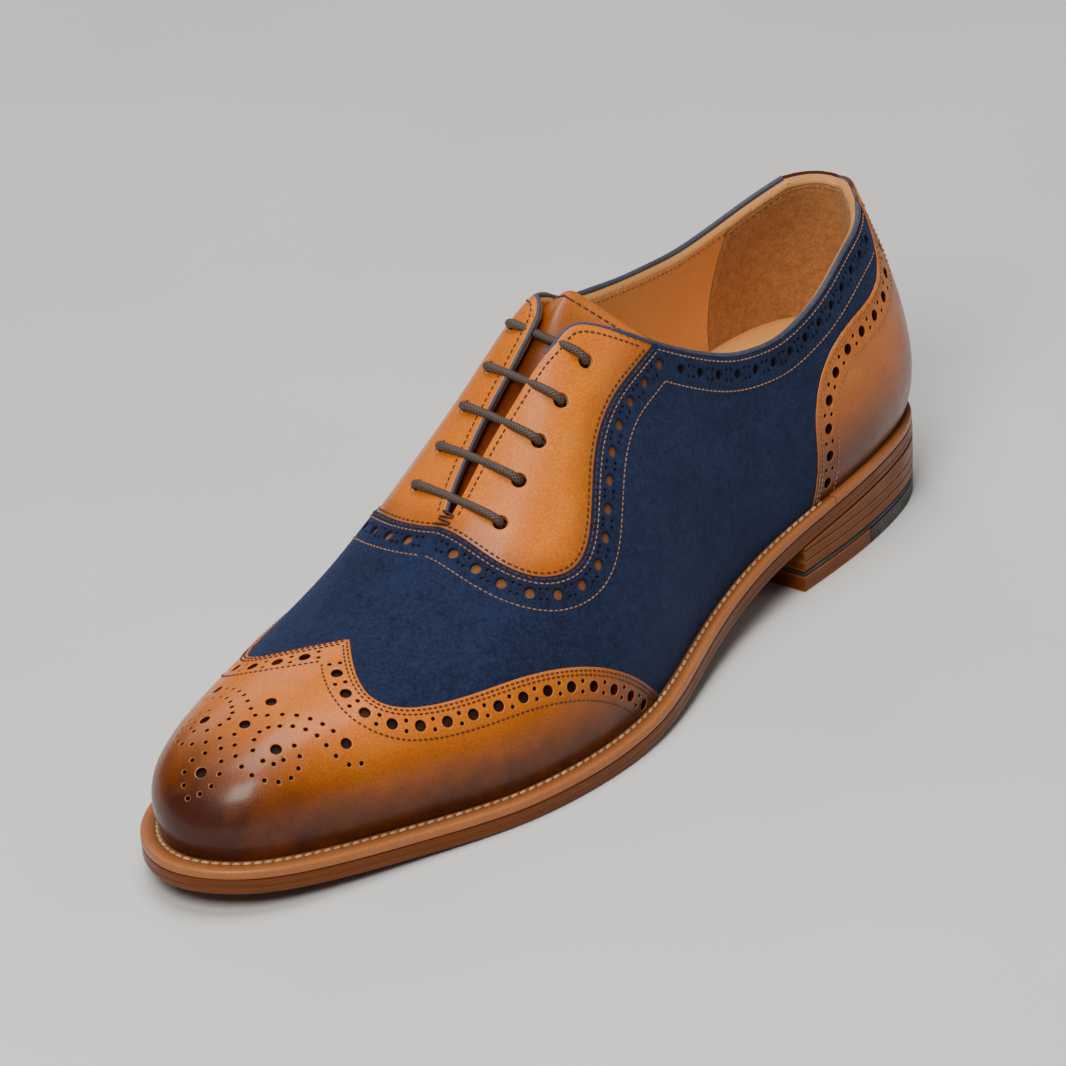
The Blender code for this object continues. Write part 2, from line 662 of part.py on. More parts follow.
def make_tongue(material):
    """Tongue that follows the last under the facings and stands out above them."""
    rows = Spline(np.arange(len(TONGUE)), TONGUE)(np.linspace(0, len(TONGUE) - 1, TONGUE_ROWS))
    across = np.linspace(-1, 1, TONGUE_COLUMNS)
    points = []
    for middle, edge, reach in rows:
        for w in across:
            around = middle + (edge - middle) * w * w
            points.append(last_point(around, 1 if w >= 0 else -1, 1 - (1 - reach) * abs(w)))
    triangles = []
    for i in range(TONGUE_ROWS - 1):
        for j in range(TONGUE_COLUMNS - 1):
            a = i * TONGUE_COLUMNS + j
            b = a + TONGUE_COLUMNS
            triangles += [(a, b + 1, b), (a, a + 1, b + 1)]
    points, triangles = np.array(points), np.array(triangles)
    normals = vertex_normals(points, triangles)
    if normals[:, 2].mean() < 0:
        triangles, normals = triangles[:, ::-1], -normals
    top = -(PANEL_DEPTH + UPPER_WALL + TONGUE_CLEARANCE)
    layers = [points + normals * top, points + normals * (top - TONGUE_THICKNESS)]
    count = len(points)
    faces = [tuple(t) for t in triangles] + [tuple(count + i for i in t[::-1]) for t in triangles]
    for a, b in open_edges(triangles):
        faces += [(b, a, count + a), (b, count + a, count + b)]
    return add_mesh("tongue", np.concatenate(layers), faces, material)


def surface_normal(around, side, up):
    """Way out of the last at a place off its ridge and its feather line."""
    ahead, behind = around + SHARE_STEP, around - SHARE_STEP
    along = last_point(ahead, side, up) - last_point(behind, side, up)
    across = last_point(around, side, up + SHARE_STEP) - last_point(around, side, up - SHARE_STEP)
    normal = np.cross(across, along) * side
    return normal / np.linalg.norm(normal) * (1 if normal[2] > 0 else -1)


def make_lace_bar(number, material):
    """One straight bar of the lace, which dips into an eyelet on each side."""
    route = []
    lift = LACE_RADIUS + GAP + LACE_CLEARANCE
    for side in (1, -1):
        around, up = EYELETS[side][number - 1]
        edge = np.array(THROAT_EDGE[side])
        edge_up = float(np.interp(around, edge[:, 0], edge[:, 1]))
        hole = last_point(around, side, up)
        out = surface_normal(around, side, up)
        half = [hole - out * LACE_DIP, hole + out * GAP]
        for place in (up + LACE_TURN, edge_up - LACE_TURN / 2):
            half.append(last_point(around, side, place) + surface_normal(around, side, place) * lift)
        route += half if side > 0 else half[::-1]
    route = np.array(route)
    knots = np.concatenate([[0.0], np.cumsum(np.linalg.norm(np.diff(route, axis=0), axis=1))])
    places = Spline(knots, route)(np.linspace(0, knots[-1], LACE_POINTS))
    curve = bpy.data.curves.new(f"lace_bar_{number}", "CURVE")
    curve.dimensions = "3D"
    line = curve.splines.new("POLY")
    line.points.add(LACE_POINTS - 1)
    for point, place in zip(line.points, places):
        point.co = (*place, 1)
    curve.bevel_depth = LACE_RADIUS
    curve.bevel_resolution = 2
    curve.use_fill_caps = True
    curve.materials.append(material)
    shape = bpy.data.objects.new(f"lace_bar_{number}", curve)
    bpy.context.scene.collection.objects.link(shape)
    return shape


def raised(height):
    """Function of the distance from the heel that follows the sole's lower face, higher up."""
    return lambda x: bottom_height(x) + height


def make_sole(materials):
    """Outsole, welt, heel seat rim and insole."""
    under_upper = PANEL_DEPTH + UPPER_WALL
    outsole = [ring(SOLE_BEVEL, 0, bottom_height), ring(0, 0, raised(SOLE_BEVEL)),
               ring(0, 0, raised(OUTSOLE_THICKNESS))]
    shapes = [loft("outsole", outsole, materials["sole"])]
    floor = OUTSOLE_THICKNESS + GAP
    front = [WELT_END] + [a for a in AROUND if a > WELT_END + STATION_CLEAR]
    rear = [a for a in AROUND if a < WELT_END - STATION_CLEAR] + [WELT_END - GAP / TOE_AT]
    welt = [(a, 1) for a in front] + [(a, -1) for a in front[-2::-1]]
    seat = [(a, -1) for a in rear[:0:-1]] + [(a, 1) for a in rear]
    for name, places in (("welt", welt), ("heel_seat", seat)):
        shapes.append(strip(name, places, under_upper, 1.0, raised(floor), welt_top, materials["welt"]))
    insole_rings = [ring(under_upper + GAP, 1.0, raised(floor)),
                    ring(under_upper + GAP, 1.0, raised(floor + INSOLE_THICKNESS))]
    shapes.append(loft("insole", insole_rings, materials["lining"]))
    return shapes


def make_heel(materials):
    """Top piece of leather and rubber, a rubber sheet and the lifts, the last one wedge-shaped."""
    def inset(height):
        return HEEL_TAPER * (HEEL_HEIGHT - height)

    def block(name, start, end, low, high, material):
        """Layer of the heel between two heights; high is None under the outsole."""
        top = (lambda x: bottom_height(x) - GAP) if high is None else (lambda x: high)
        top_inset = 0.0 if high is None else inset(high)
        rings = [heel_ring(start, end, inset(low), lambda x: low),
                 heel_ring(start, end, top_inset, top)]
        return loft(name, rings, material, closed_back=start == 0)

    joint = TOP_PIECE_JOINT
    shapes = [block("top_piece_rubber", 0, joint, 0, TOP_PIECE_THICKNESS, materials["rubber"]),
              block("top_piece_leather", joint + GAP, HEEL_LENGTH, 0, TOP_PIECE_THICKNESS,
                    materials["sole"])]
    level = TOP_PIECE_THICKNESS + GAP
    shapes.append(block("rubber_sheet", 0, HEEL_LENGTH, level, level + RUBBER_SHEET_THICKNESS,
                        materials["rubber"]))
    level += RUBBER_SHEET_THICKNESS + GAP
    for number in range(1, LIFTS):
        shapes.append(block(f"heel_lift_{number}", 0, HEEL_LENGTH, level, level + LIFT_THICKNESS,
                            materials["sole"]))
        level += LIFT_THICKNESS + GAP
    shapes.append(block(f"heel_lift_{LIFTS}", 0, HEEL_LENGTH, level, None, materials["sole"]))
    return shapes


def make_upper(materials):
    """Hollow base of the upper and the panels that lie on it."""
    net = UpperMap()
    shapes = [net.shell("upper", -PANEL_DEPTH - UPPER_WALL, -PANEL_DEPTH, materials["tan"])]
    under = GAP - PANEL_DEPTH
    panels = (("wing_cap", CAP_THICKNESS, "tan"), ("heel_counter", CAP_THICKNESS, "tan"),
              ("back_tab", CAP_THICKNESS, "tan"), ("suede_quarters", SUEDE_THICKNESS, "navy"),
              ("facing_left", FACING_THICKNESS, "tan"), ("facing_right", FACING_THICKNESS, "tan"))
    for name, thickness, finish in panels:
        shapes.append(net.shell(name, under, under + thickness, materials[finish], name))
    return shapes


def make_material(name, colour, roughness):
    """Plain Principled material."""
    material = bpy.data.materials.new(name)
    material.use_nodes = True
    shader = material.node_tree.nodes["Principled BSDF"]
    shader.inputs["Base Color"].default_value = (*colour, 1)
    shader.inputs["Roughness"].default_value = roughness
    shader.inputs["Metallic"].default_value = 0.0
    material.diffuse_color = (*colour, 1)
    return material


def centre(shapes):
    """Hang the pieces on an empty that puts the origin under the middle of the whole."""
    bpy.context.view_layer.update()
    graph = bpy.context.evaluated_depsgraph_get()
    corners = []
    for shape in shapes:
        mesh = shape.evaluated_get(graph).to_mesh()
        corners += [vertex.co.copy() for vertex in mesh.vertices]
    low = Vector([min(p[k] for p in corners) for k in range(3)])
    high = Vector([max(p[k] for p in corners) for k in range(3)])
    holder = bpy.data.objects.new("shoe", None)
    bpy.context.scene.collection.objects.link(holder)
    holder.location = (-(low.x + high.x) / 2, -(low.y + high.y) / 2, -low.z)
    for shape in shapes:
        shape.parent = holder


def main():
    for shape in list(bpy.data.objects):
        bpy.data.objects.remove(shape, do_unlink=True)
    materials = {key: make_material(*finish) for key, finish in FINISHES.items()}
    shapes = make_upper(materials)
    shapes.append(make_tongue(materials["tan"]))
    shapes += make_sole(materials)
    shapes += make_heel(materials)
    for number in range(1, len(EYELETS[1]) + 1):
        shapes.append(make_lace_bar(number, materials["lace"]))
    centre(shapes)


main()
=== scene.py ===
"""Looks of a wing-tip spectator oxford, a left shoe standing empty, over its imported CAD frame.

Every leather part follows one surface, the last. A place on it has three values: around, its share of
the way from the middle of the heel to the tip of the toe; side, +1 outer or -1 inner; and up, its
share of the way from the feather line, where the upper meets the welt, to the ridge of the foot.
Lengths are metres in the prototype's frame, whose x starts at the sole's heel; the shift of the
packed row is taken off where a mesh is made.
"""
import logging
import math
from dataclasses import dataclass, field
from enum import Enum
from itertools import product
from typing import Optional, Sequence

import bpy
import numpy as np
from mathutils import Matrix, Vector
from mathutils.geometry import delaunay_2d_cdt
from mathutils.kdtree import KDTree


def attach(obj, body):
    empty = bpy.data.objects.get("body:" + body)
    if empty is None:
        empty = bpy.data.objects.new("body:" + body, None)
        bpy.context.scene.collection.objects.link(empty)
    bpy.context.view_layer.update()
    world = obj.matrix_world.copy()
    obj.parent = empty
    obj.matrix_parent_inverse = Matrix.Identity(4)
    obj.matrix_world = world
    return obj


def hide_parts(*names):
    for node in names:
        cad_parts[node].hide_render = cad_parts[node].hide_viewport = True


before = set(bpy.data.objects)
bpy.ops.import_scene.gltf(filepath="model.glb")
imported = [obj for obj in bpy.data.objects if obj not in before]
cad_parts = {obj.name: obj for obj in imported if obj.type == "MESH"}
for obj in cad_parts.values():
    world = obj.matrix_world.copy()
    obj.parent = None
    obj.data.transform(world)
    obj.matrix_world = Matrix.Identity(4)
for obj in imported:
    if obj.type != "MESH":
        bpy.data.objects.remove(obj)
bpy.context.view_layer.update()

LOG = logging.getLogger("spectator_shoe")
MM = 0.001
BODY = "root"

Array = np.ndarray
Material = bpy.types.Material
NodeTree = bpy.types.NodeTree
Socket = bpy.types.NodeSocket
Colour = tuple[float, float, float]

EYELET_RADIUS = 2.1 * MM

# Highest place up a section where the way out of the surface is steady
RIDGE_SAFE = 0.9

# Outline and section shape, heel to toe. along is a share of the sole's length; across, fullness and
# reach are shares of the ball's width; ledge of the widest ledge; rise and drop of the instep's height.
# columns: along, across, ledge, rise, fullness, reach, drop
OUTER_SIDE = (
    (0.000, 0.000, 0.45, 0.270, 0.140, 0.070, 0.460),
    (0.023, 0.206, 0.45, 0.270, 0.135, 0.120, 0.440),
    (0.100, 0.313, 0.45, 0.281, 0.110, 0.180, 0.370),
    (0.200, 0.345, 0.48, 0.311, 0.060, 0.212, 0.267),
    (0.317, 0.352, 0.56, 0.333, 0.056, 0.192, 0.156),
    (0.417, 0.404, 0.64, 0.344, 0.061, 0.176, 0.089),
    (0.533, 0.501, 0.75, 0.322, 0.061, 0.215, 0.044),
    (0.633, 0.509, 0.80, 0.283, 0.061, 0.270, 0.022),
    (0.717, 0.461, 0.85, 0.256, 0.058, 0.305, 0.011),
    (0.817, 0.343, 0.93, 0.247, 0.055, 0.330, 0.000),
    (0.917, 0.220, 0.98, 0.245, 0.050, 0.335, 0.000),
    (0.973, 0.106, 1.00, 0.245, 0.040, 0.335, 0.000),
    (1.000, -0.090, 1.00, 0.250, 0.040, 0.335, 0.000),
)
INNER_SIDE = (
    (0.023, -0.204, 0.45, 0.270, 0.135, 0.120, 0.440),
    (0.100, -0.313, 0.45, 0.285, 0.105, 0.180, 0.370),
    (0.217, -0.313, 0.43, 0.311, 0.065, 0.212, 0.267),
    (0.333, -0.278, 0.43, 0.335, 0.080, 0.200, 0.156),
    (0.433, -0.303, 0.48, 0.350, 0.096, 0.270, 0.080),
    (0.550, -0.414, 0.59, 0.350, 0.108, 0.355, 0.042),
    (0.650, -0.485, 0.67, 0.320, 0.092, 0.355, 0.011),
    (0.733, -0.488, 0.72, 0.290, 0.075, 0.370, -0.003),
    (0.833, -0.468, 0.77, 0.268, 0.062, 0.360, -0.005),
    (0.925, -0.380, 0.85, 0.270, 0.075, 0.365, -0.003),
    (0.980, -0.244, 0.93, 0.270, 0.080, 0.370, -0.003),
)

# Where each section meets the ridge: around, along
RIDGE_FOOT = (
    (0.000, 0.050), (0.063, 0.075), (0.138, 0.130), (0.235, 0.210), (0.338, 0.320),
    (0.428, 0.415), (0.536, 0.515), (0.626, 0.605), (0.700, 0.680), (0.793, 0.740),
    (0.883, 0.775), (0.945, 0.795), (1.000, 0.800),
)

# The ridge: along, height over the welt as a share of the instep's, aside as a share of the ball's width
RIDGE = (
    (0.030, 1.204, 0.000), (0.100, 1.187, 0.000), (0.200, 1.158, 0.000), (0.300, 1.145, -0.010),
    (0.380, 1.125, -0.015), (0.436, 1.113, -0.022), (0.475, 1.030, -0.018), (0.540, 0.852, -0.020),
    (0.613, 0.667, -0.020), (0.690, 0.524, -0.030), (0.755, 0.453, -0.036), (0.800, 0.422, -0.040),
    (0.860, 0.375, -0.050),
)

# Lower face of the sole over the heel: shares of the heel's length, its height and the toe spring
HEEL_BOTTOM = ((0.000, 1.000, 0.000), (0.790, 0.882, 0.000), (1.117, 0.731, 0.000))

# Lower face of the sole in front of it: along, shares of the heel's height and the toe spring
FRONT_BOTTOM = (
    (0.400, 0.398, 0.000), (0.530, 0.086, 0.000), (0.633, 0.000, 0.000), (0.717, 0.000, 0.000),
    (0.817, 0.000, 0.197), (0.900, 0.000, 0.526), (1.000, 0.000, 1.000),
)

# Edges of the panels by side: around, up. The collar and the facings run from the heel forward.
TAB_TOP = {
    1: ((0.000, 0.672), (0.030, 0.672), (0.055, 0.640)),
    -1: ((0.000, 0.672), (0.037, 0.682), (0.074, 0.681)),
}
TOPLINE = {
    1: ((0.055, 0.640), (0.091, 0.614), (0.125, 0.594), (0.161, 0.562), (0.195, 0.527),
        (0.228, 0.501), (0.256, 0.489), (0.281, 0.494), (0.308, 0.514), (0.335, 0.555),
        (0.385, 0.663)),
    -1: ((0.074, 0.681), (0.118, 0.637), (0.158, 0.602), (0.205, 0.584), (0.257, 0.596),
         (0.308, 0.625), (0.357, 0.679), (0.385, 0.718)),
}
FACING_TOP = {
    1: ((0.385, 0.663), (0.420, 0.752), (0.437, 0.801), (0.452, 0.845), (0.465, 0.872),
        (0.478, 0.886)),
    -1: ((0.385, 0.718), (0.415, 0.795), (0.439, 0.866), (0.452, 0.930), (0.470, 0.975)),
}
THROAT_EDGE = {
    1: ((0.478, 0.886), (0.492, 0.909), (0.519, 0.938), (0.544, 0.957), (0.567, 0.973),
        (0.608, 0.985), (0.630, 0.987)),
    -1: ((0.470, 0.975), (0.489, 0.975), (0.507, 0.969), (0.535, 0.960), (0.555, 0.955),
         (0.575, 0.956), (0.618, 0.973), (0.630, 0.985)),
}
THROAT_END = {
    1: ((0.630, 0.987), (0.634, 1.000)),
    -1: ((0.630, 0.985), (0.634, 1.000)),
}
FACING_EDGE = {
    1: ((0.385, 0.663), (0.428, 0.643), (0.485, 0.634), (0.505, 0.607), (0.536, 0.536),
        (0.550, 0.516), (0.567, 0.516), (0.602, 0.594), (0.627, 0.749), (0.638, 0.922),
        (0.643, 1.000)),
    -1: ((0.385, 0.718), (0.428, 0.665), (0.485, 0.634), (0.505, 0.607), (0.536, 0.536),
         (0.550, 0.516), (0.567, 0.530), (0.607, 0.686), (0.629, 0.822), (0.641, 0.950),
         (0.643, 1.000)),
}
WING_EDGE = (
    (0.508, 0.000), (0.542, 0.134), (0.600, 0.300), (0.668, 0.432), (0.751, 0.538), (0.782, 0.603),
    (0.802, 0.685), (0.816, 0.803), (0.825, 1.000),
)
COUNTER_FRONT = (
    (0.249, 0.000), (0.241, 0.130), (0.236, 0.264), (0.215, 0.366), (0.165, 0.439), (0.101, 0.491),
)
COUNTER_EDGE = {
    1: COUNTER_FRONT + ((0.080, 0.540), (0.065, 0.590), (0.055, 0.640)),
    -1: COUNTER_FRONT + ((0.084, 0.550), (0.077, 0.610), (0.074, 0.681)),
}
TAB_EDGE = {
    1: ((0.000, 0.612), (0.030, 0.608), (0.047, 0.614), (0.055, 0.640)),
    -1: ((0.000, 0.612), (0.040, 0.618), (0.066, 0.632), (0.074, 0.681)),
}
EYELETS = {
    1: ((0.462, 0.762), (0.503, 0.787), (0.540, 0.803), (0.573, 0.810), (0.606, 0.806)),
    -1: ((0.469, 0.866), (0.503, 0.860), (0.533, 0.842), (0.565, 0.829), (0.597, 0.813)),
}

# The tongue, front to top: around at its middle and at its side, up at its side
TONGUE = (
    (0.660, 0.655, 0.80), (0.600, 0.600, 0.74), (0.540, 0.535, 0.70), (0.484, 0.445, 0.65),
    (0.427, 0.354, 0.60),
)

# Brogue pattern of the toe cap, one half: millimetres ahead of the ridge's end and off the centre line
MEDALLION_LARGE = ((17.3, 0.0), (27.5, 0.0), (44.6, 0.0), (29.6, 12.4), (14.3, 22.4))
MEDALLION_SMALL = (
    (23.5, 0.0), (22.0, 2.9), (19.8, 6.1), (17.8, 9.2), (16.3, 12.4), (15.2, 15.6), (14.6, 18.6),
    (33.4, 8.0), (30.6, 6.0), (27.8, 5.4), (25.4, 6.3), (23.4, 8.4), (21.3, 10.9), (19.7, 13.8),
    (18.8, 16.8), (18.8, 19.8), (18.6, 22.6), (16.9, 25.2), (13.8, 26.6),
    (25.4, 14.9), (26.4, 17.4), (28.7, 18.8), (31.7, 18.8), (34.9, 17.4), (37.4, 15.0), (38.7, 12.1),
    (38.6, 8.6), (37.0, 5.2), (34.4, 2.6), (31.6, 0.0), (34.2, 12.0), (32.9, 14.4), (30.3, 15.4),
    (36.9, 0.0), (39.9, 2.8), (42.8, 4.7), (46.0, 4.6), (48.5, 2.7), (50.2, 0.0),
)
MEDALLION_SLOPE = 0.10


class Spline:
    """Cubic spline through rows of values, natural at its ends or closed after a period."""

    def __init__(self, knots: Array, rows: Array, period: Optional[float] = None) -> None:
        """Solve the bends at the knots.

        Args:
            knots: Rising places of the rows.
            rows: One row of values per knot.
            period: Length after which a closed spline repeats.
        """
        self.knots = np.asarray(knots, float)
        self.rows = np.asarray(rows, float)
        self.period = period
        if period is not None:
            self.knots = np.append(self.knots, self.knots[0] + period)
            self.rows = np.vstack([self.rows, self.rows[:1]])
        step = np.diff(self.knots)
        slope = np.diff(self.rows, axis=0) / step[:, None]
        count = len(self.knots)
        system = np.zeros((count, count))
        right = np.zeros_like(self.rows)
        for i in range(1, count - 1):
            system[i, i - 1:i + 2] = step[i - 1] / 6, (step[i - 1] + step[i]) / 3, step[i] / 6
            right[i] = slope[i] - slope[i - 1]
        if period is None:
            system[0, 0] = system[-1, -1] = 1
        else:
            system[0, [0, -1]] = 1, -1
            system[-1, [0, 1, -2, -1]] = step[0] / 3, step[0] / 6, step[-1] / 6, step[-1] / 3
            right[-1] = slope[0] - slope[-1]
        self.bend = np.linalg.solve(system, right)

    def __call__(self, at: Array) -> Array:
        """Values at places.

        Args:
            at: Places along the knots.

        Returns:
            One row of values per place.
        """
        at = np.asarray(at, float)
        if self.period is None:
            at = np.clip(at, self.knots[0], self.knots[-1])
        else:
            at = (at - self.knots[0]) % self.period + self.knots[0]
        k = np.clip(np.searchsorted(self.knots, at, side="right") - 1, 0, len(self.knots) - 2)
        step = (self.knots[k + 1] - self.knots[k])[..., None]
        left = (self.knots[k + 1] - at)[..., None] / step
        right = 1 - left
        bend = (left**3 - left) * self.bend[k] + (right**3 - right) * self.bend[k + 1]
        return left * self.rows[k] + right * self.rows[k + 1] + bend * step**2 / 6


def unit(vectors: Array) -> Array:
    """Vectors scaled to length one."""
    return vectors / np.maximum(np.linalg.norm(vectors, axis=-1, keepdims=True), 1e-12)


def arc_lengths(points: Array) -> Array:
    """Distance of each point of a polyline from its first."""
    return np.concatenate([[0.0], np.cumsum(np.linalg.norm(np.diff(points, axis=0), axis=1))])


def read_path(path: Array, wanted: Array, rows: Optional[Array] = None) -> Array:
    """Points of a path, or other rows that go with them, at distances along it."""
    rows = path if rows is None else rows
    return np.stack([np.interp(wanted, arc_lengths(path), column) for column in rows.T], axis=1)


@dataclass
class Last:
    """Surface of the foot form, with the sole lines that it stands on."""

    sole_length: float = 304.0 * MM
    ball_width: float = 99.0 * MM
    heel_height: float = 18.6 * MM
    heel_length: float = 77.0 * MM
    toe_spring: float = 7.6 * MM
    instep_height: float = 90.0 * MM
    ledge: float = 7.5 * MM
    outsole: float = 4.6 * MM
    gap: float = 0.3 * MM
    welt: float = 2.5 * MM
    step: float = 0.0015
    shift: Array = field(default_factory=lambda: np.zeros(3))

    def __post_init__(self) -> None:
        """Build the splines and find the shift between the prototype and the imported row."""
        rows = np.array(OUTER_SIDE + INNER_SIDE[::-1]) * np.array((
            self.sole_length, self.ball_width, self.ledge, self.instep_height, self.ball_width,
            self.ball_width, self.instep_height))
        knots = arc_lengths(np.vstack([rows, rows[:1]])[:, :2])
        self.outline = Spline(knots[:-1], rows, period=knots[-1])
        self.perimeter = float(knots[-1])
        self.toe_at = float(knots[len(OUTER_SIDE) - 1])
        self.ridge_along = self.mirrored(RIDGE_FOOT)
        self.ridge_line = Spline(np.array(RIDGE)[:, 0], np.array(RIDGE)[:, 1:])
        sole = np.array(HEEL_BOTTOM + FRONT_BOTTOM)
        units = [self.heel_length] * len(HEEL_BOTTOM) + [self.sole_length] * len(FRONT_BOTTOM)
        self.sole_line = Spline(sole[:, 0] * np.array(units), sole[:, 1:])
        tip = max(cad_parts["outsole"].data.vertices, key=lambda vertex: vertex.co.x)
        toe = self.outline_point(np.array(1.0), np.array(1))
        self.shift = np.array([toe[0] - tip.co.x, toe[1] - tip.co.y, 0.0])

    @staticmethod
    def mirrored(table: Sequence[Sequence[float]]) -> Spline:
        """Spline of a table over around, level at the heel and at the toe.

        Args:
            table: Rows that start with around.

        Returns:
            The spline, closed over both sides.
        """
        rows = np.array(table)
        knots = np.concatenate([rows[:, 0], 2 - rows[-2:0:-1, 0]])
        return Spline(knots, np.concatenate([rows[:, 1:], rows[-2:0:-1, 1:]]), period=2.0)

    def bottom(self, x: Array) -> Array:
        """Height of the sole's lower face."""
        heel, spring = np.moveaxis(self.sole_line(x), -1, 0)
        return np.maximum(heel, 0) * self.heel_height + np.maximum(spring, 0) * self.toe_spring

    def welt_top(self, x: Array) -> Array:
        """Height of the welt's upper face."""
        return self.bottom(x) + self.outsole + self.gap + self.welt

    def ridge_point(self, x: Array) -> Array:
        """Points of the ridge at distances from the heel.

        Args:
            x: Distances from the heel.

        Returns:
            The points.
        """
        height, aside = np.moveaxis(self.ridge_line(x / self.sole_length), -1, 0)
        top = self.welt_top(x) + height * self.instep_height
        return np.stack([x, aside * self.ball_width, top], axis=-1)

    def outline_row(self, around: Array, side: Array) -> tuple[Array, Array]:
        """Outline and section shape at places round the sole.

        Args:
            around: Shares of the way from heel to toe.
            side: +1 outer or -1 inner.

        Returns:
            The rows of the outline spline, and the way out of the outline.
        """
        around, side = np.broadcast_arrays(np.asarray(around, float), side)
        inner = self.perimeter - around * (self.perimeter - self.toe_at)
        at = np.where(side > 0, around * self.toe_at, inner)
        way = self.outline(at + MM / 2)[..., :2] - self.outline(at - MM / 2)[..., :2]
        way = unit(way)
        return self.outline(at), np.stack([-way[..., 1], way[..., 0]], axis=-1)

    def outline_point(self, around: Array, side: Array, inset: float = 0.0,
                      ledge: float = 0.0) -> Array:
        """Points of the sole outline moved in by an inset and a share of the ledge there."""
        row, out = self.outline_row(around, side)
        return row[..., :2] - out * (inset + ledge * row[..., 2:3])

    def section(self, around: Array, side: Array) -> tuple[Array, Array, Array, Array]:
        """Four control points of the sections that rise from places on the feather line.

        Args:
            around: Shares of the way from heel to toe.
            side: +1 outer or -1 inner.

        Returns:
            The points, lowest first.
        """
        row = self.outline_row(around, side)[0]
        foot = self.outline_point(around, side, ledge=1.0)
        low = np.concatenate([foot, self.welt_top(foot[..., 0])[..., None]], axis=-1)
        x = np.broadcast_to(self.ridge_along(around)[..., 0] * self.sole_length, foot.shape[:-1])
        top = self.ridge_point(x)
        slope = (self.ridge_point(x + MM)[..., 2] - self.ridge_point(x - MM)[..., 2]) / (2 * MM)
        out = unit(low[..., :2] - top[..., :2])
        rise, full, reach, drop = (row[..., k] for k in (3, 4, 5, 6))
        belly = low + np.stack([out[..., 0] * full, out[..., 1] * full, rise], axis=-1)
        fall = out[..., 0] * reach * slope - drop
        shoulder = top + np.stack([out[..., 0] * reach, out[..., 1] * reach, fall], axis=-1)
        return low, belly, shoulder, top

    def point(self, around: Array, side: Array, up: Array) -> Array:
        """Points of the surface at places on it.

        Args:
            around: Shares of the way from heel to toe.
            side: +1 outer or -1 inner.
            up: Shares of the way from the feather line to the ridge.

        Returns:
            The points.
        """
        low, belly, shoulder, top = self.section(around, side)
        up = np.asarray(up, float)[..., None]
        low_part = (1 - up)**3 * low + 3 * up * (1 - up)**2 * belly
        return low_part + 3 * up**2 * (1 - up) * shoulder + up**3 * top

    def flat(self, around: Array, side: Array, up: Array) -> Array:
        """Places of surface points in the flat map where the panels are cut, in millimetres.

        Args:
            around: Shares of the way from heel to toe.
            side: +1 outer or -1 inner.
            up: Shares of the way from the feather line to the ridge.

        Returns:
            Their x and y in the map.
        """
        low, _, _, top = self.section(around, side)
        up = np.asarray(up, float)[..., None]
        return ((1 - up) * low[..., :2] + up * top[..., :2]) / MM

    def slopes(self, around: Array, side: Array, up: Array) -> tuple[Array, Array, Array]:
        """Steps of the surface with around and with up, and the way out of it.

        Args:
            around: Shares of the way from heel to toe.
            side: +1 outer or -1 inner.
            up: Shares of the way from the feather line to the ridge.

        Returns:
            The two steps and the ways out.
        """
        h = self.step
        along = (self.point(around + h, side, up) - self.point(around - h, side, up)) / (2 * h)
        across = (self.point(around, side, up + h) - self.point(around, side, up - h)) / (2 * h)
        low = np.minimum(up, RIDGE_SAFE)
        steady = self.point(around + h, side, low) - self.point(around - h, side, low)
        return along, across, unit(np.cross(across, steady) * np.asarray(side)[..., None])

    def travel(self, around: Array, side: Array, up: Array, ways: Array) -> tuple[Array, Array]:
        """Places reached by short straight steps along the surface.

        Args:
            around: Start places, as shares round the sole.
            side: Sides of the starts.
            up: Start places, as shares of the way up.
            ways: Steps in space, one row each.

        Returns:
            New values of around and up.
        """
        along, across, _ = self.slopes(around, side, up)
        aa, ab, bb = (np.sum(p * q, -1) for p, q in ((along, along), (along, across), (across, across)))
        wa, wb = np.sum(ways * along, -1), np.sum(ways * across, -1)
        spread = np.maximum(aa * bb - ab * ab, 1e-14)
        return around + (wa * bb - wb * ab) / spread, up + (wb * aa - wa * ab) / spread


@dataclass
class Places:
    """Places on the last."""

    around: Array
    side: Array
    up: Array

    def folded(self) -> "Places":
        """The same places, with those past the ridge or an end of the foot taken to the other side.

        Returns:
            The folded places.
        """
        around, side, up = self.around.copy(), self.side.copy(), self.up.copy()
        over = up > 1
        side[over] *= -1
        up[over] = 2 - up[over]
        for crossed, turned in ((around < 0, -around), (around > 1, 2 - around)):
            side[crossed] *= -1
            around[crossed] = turned[crossed]
        return Places(around, side, np.maximum(up, 0.0))

    def points(self, last: Last) -> Array:
        """Points of the surface at the places."""
        return last.point(self.around, self.side, self.up)

    def normals(self, last: Last) -> Array:
        """Ways out of the surface at the places."""
        return last.slopes(self.around, self.side, self.up)[2]

    def taken(self, keep: Array) -> "Places":
        """Chosen places only."""
        return Places(self.around[keep], self.side[keep], self.up[keep])

    @staticmethod
    def joined(several: Sequence["Places"]) -> "Places":
        """Several sets of places as one."""
        parts = [[getattr(one, name) for one in several] for name in ("around", "side", "up")]
        return Places(*(np.concatenate(part) for part in parts))


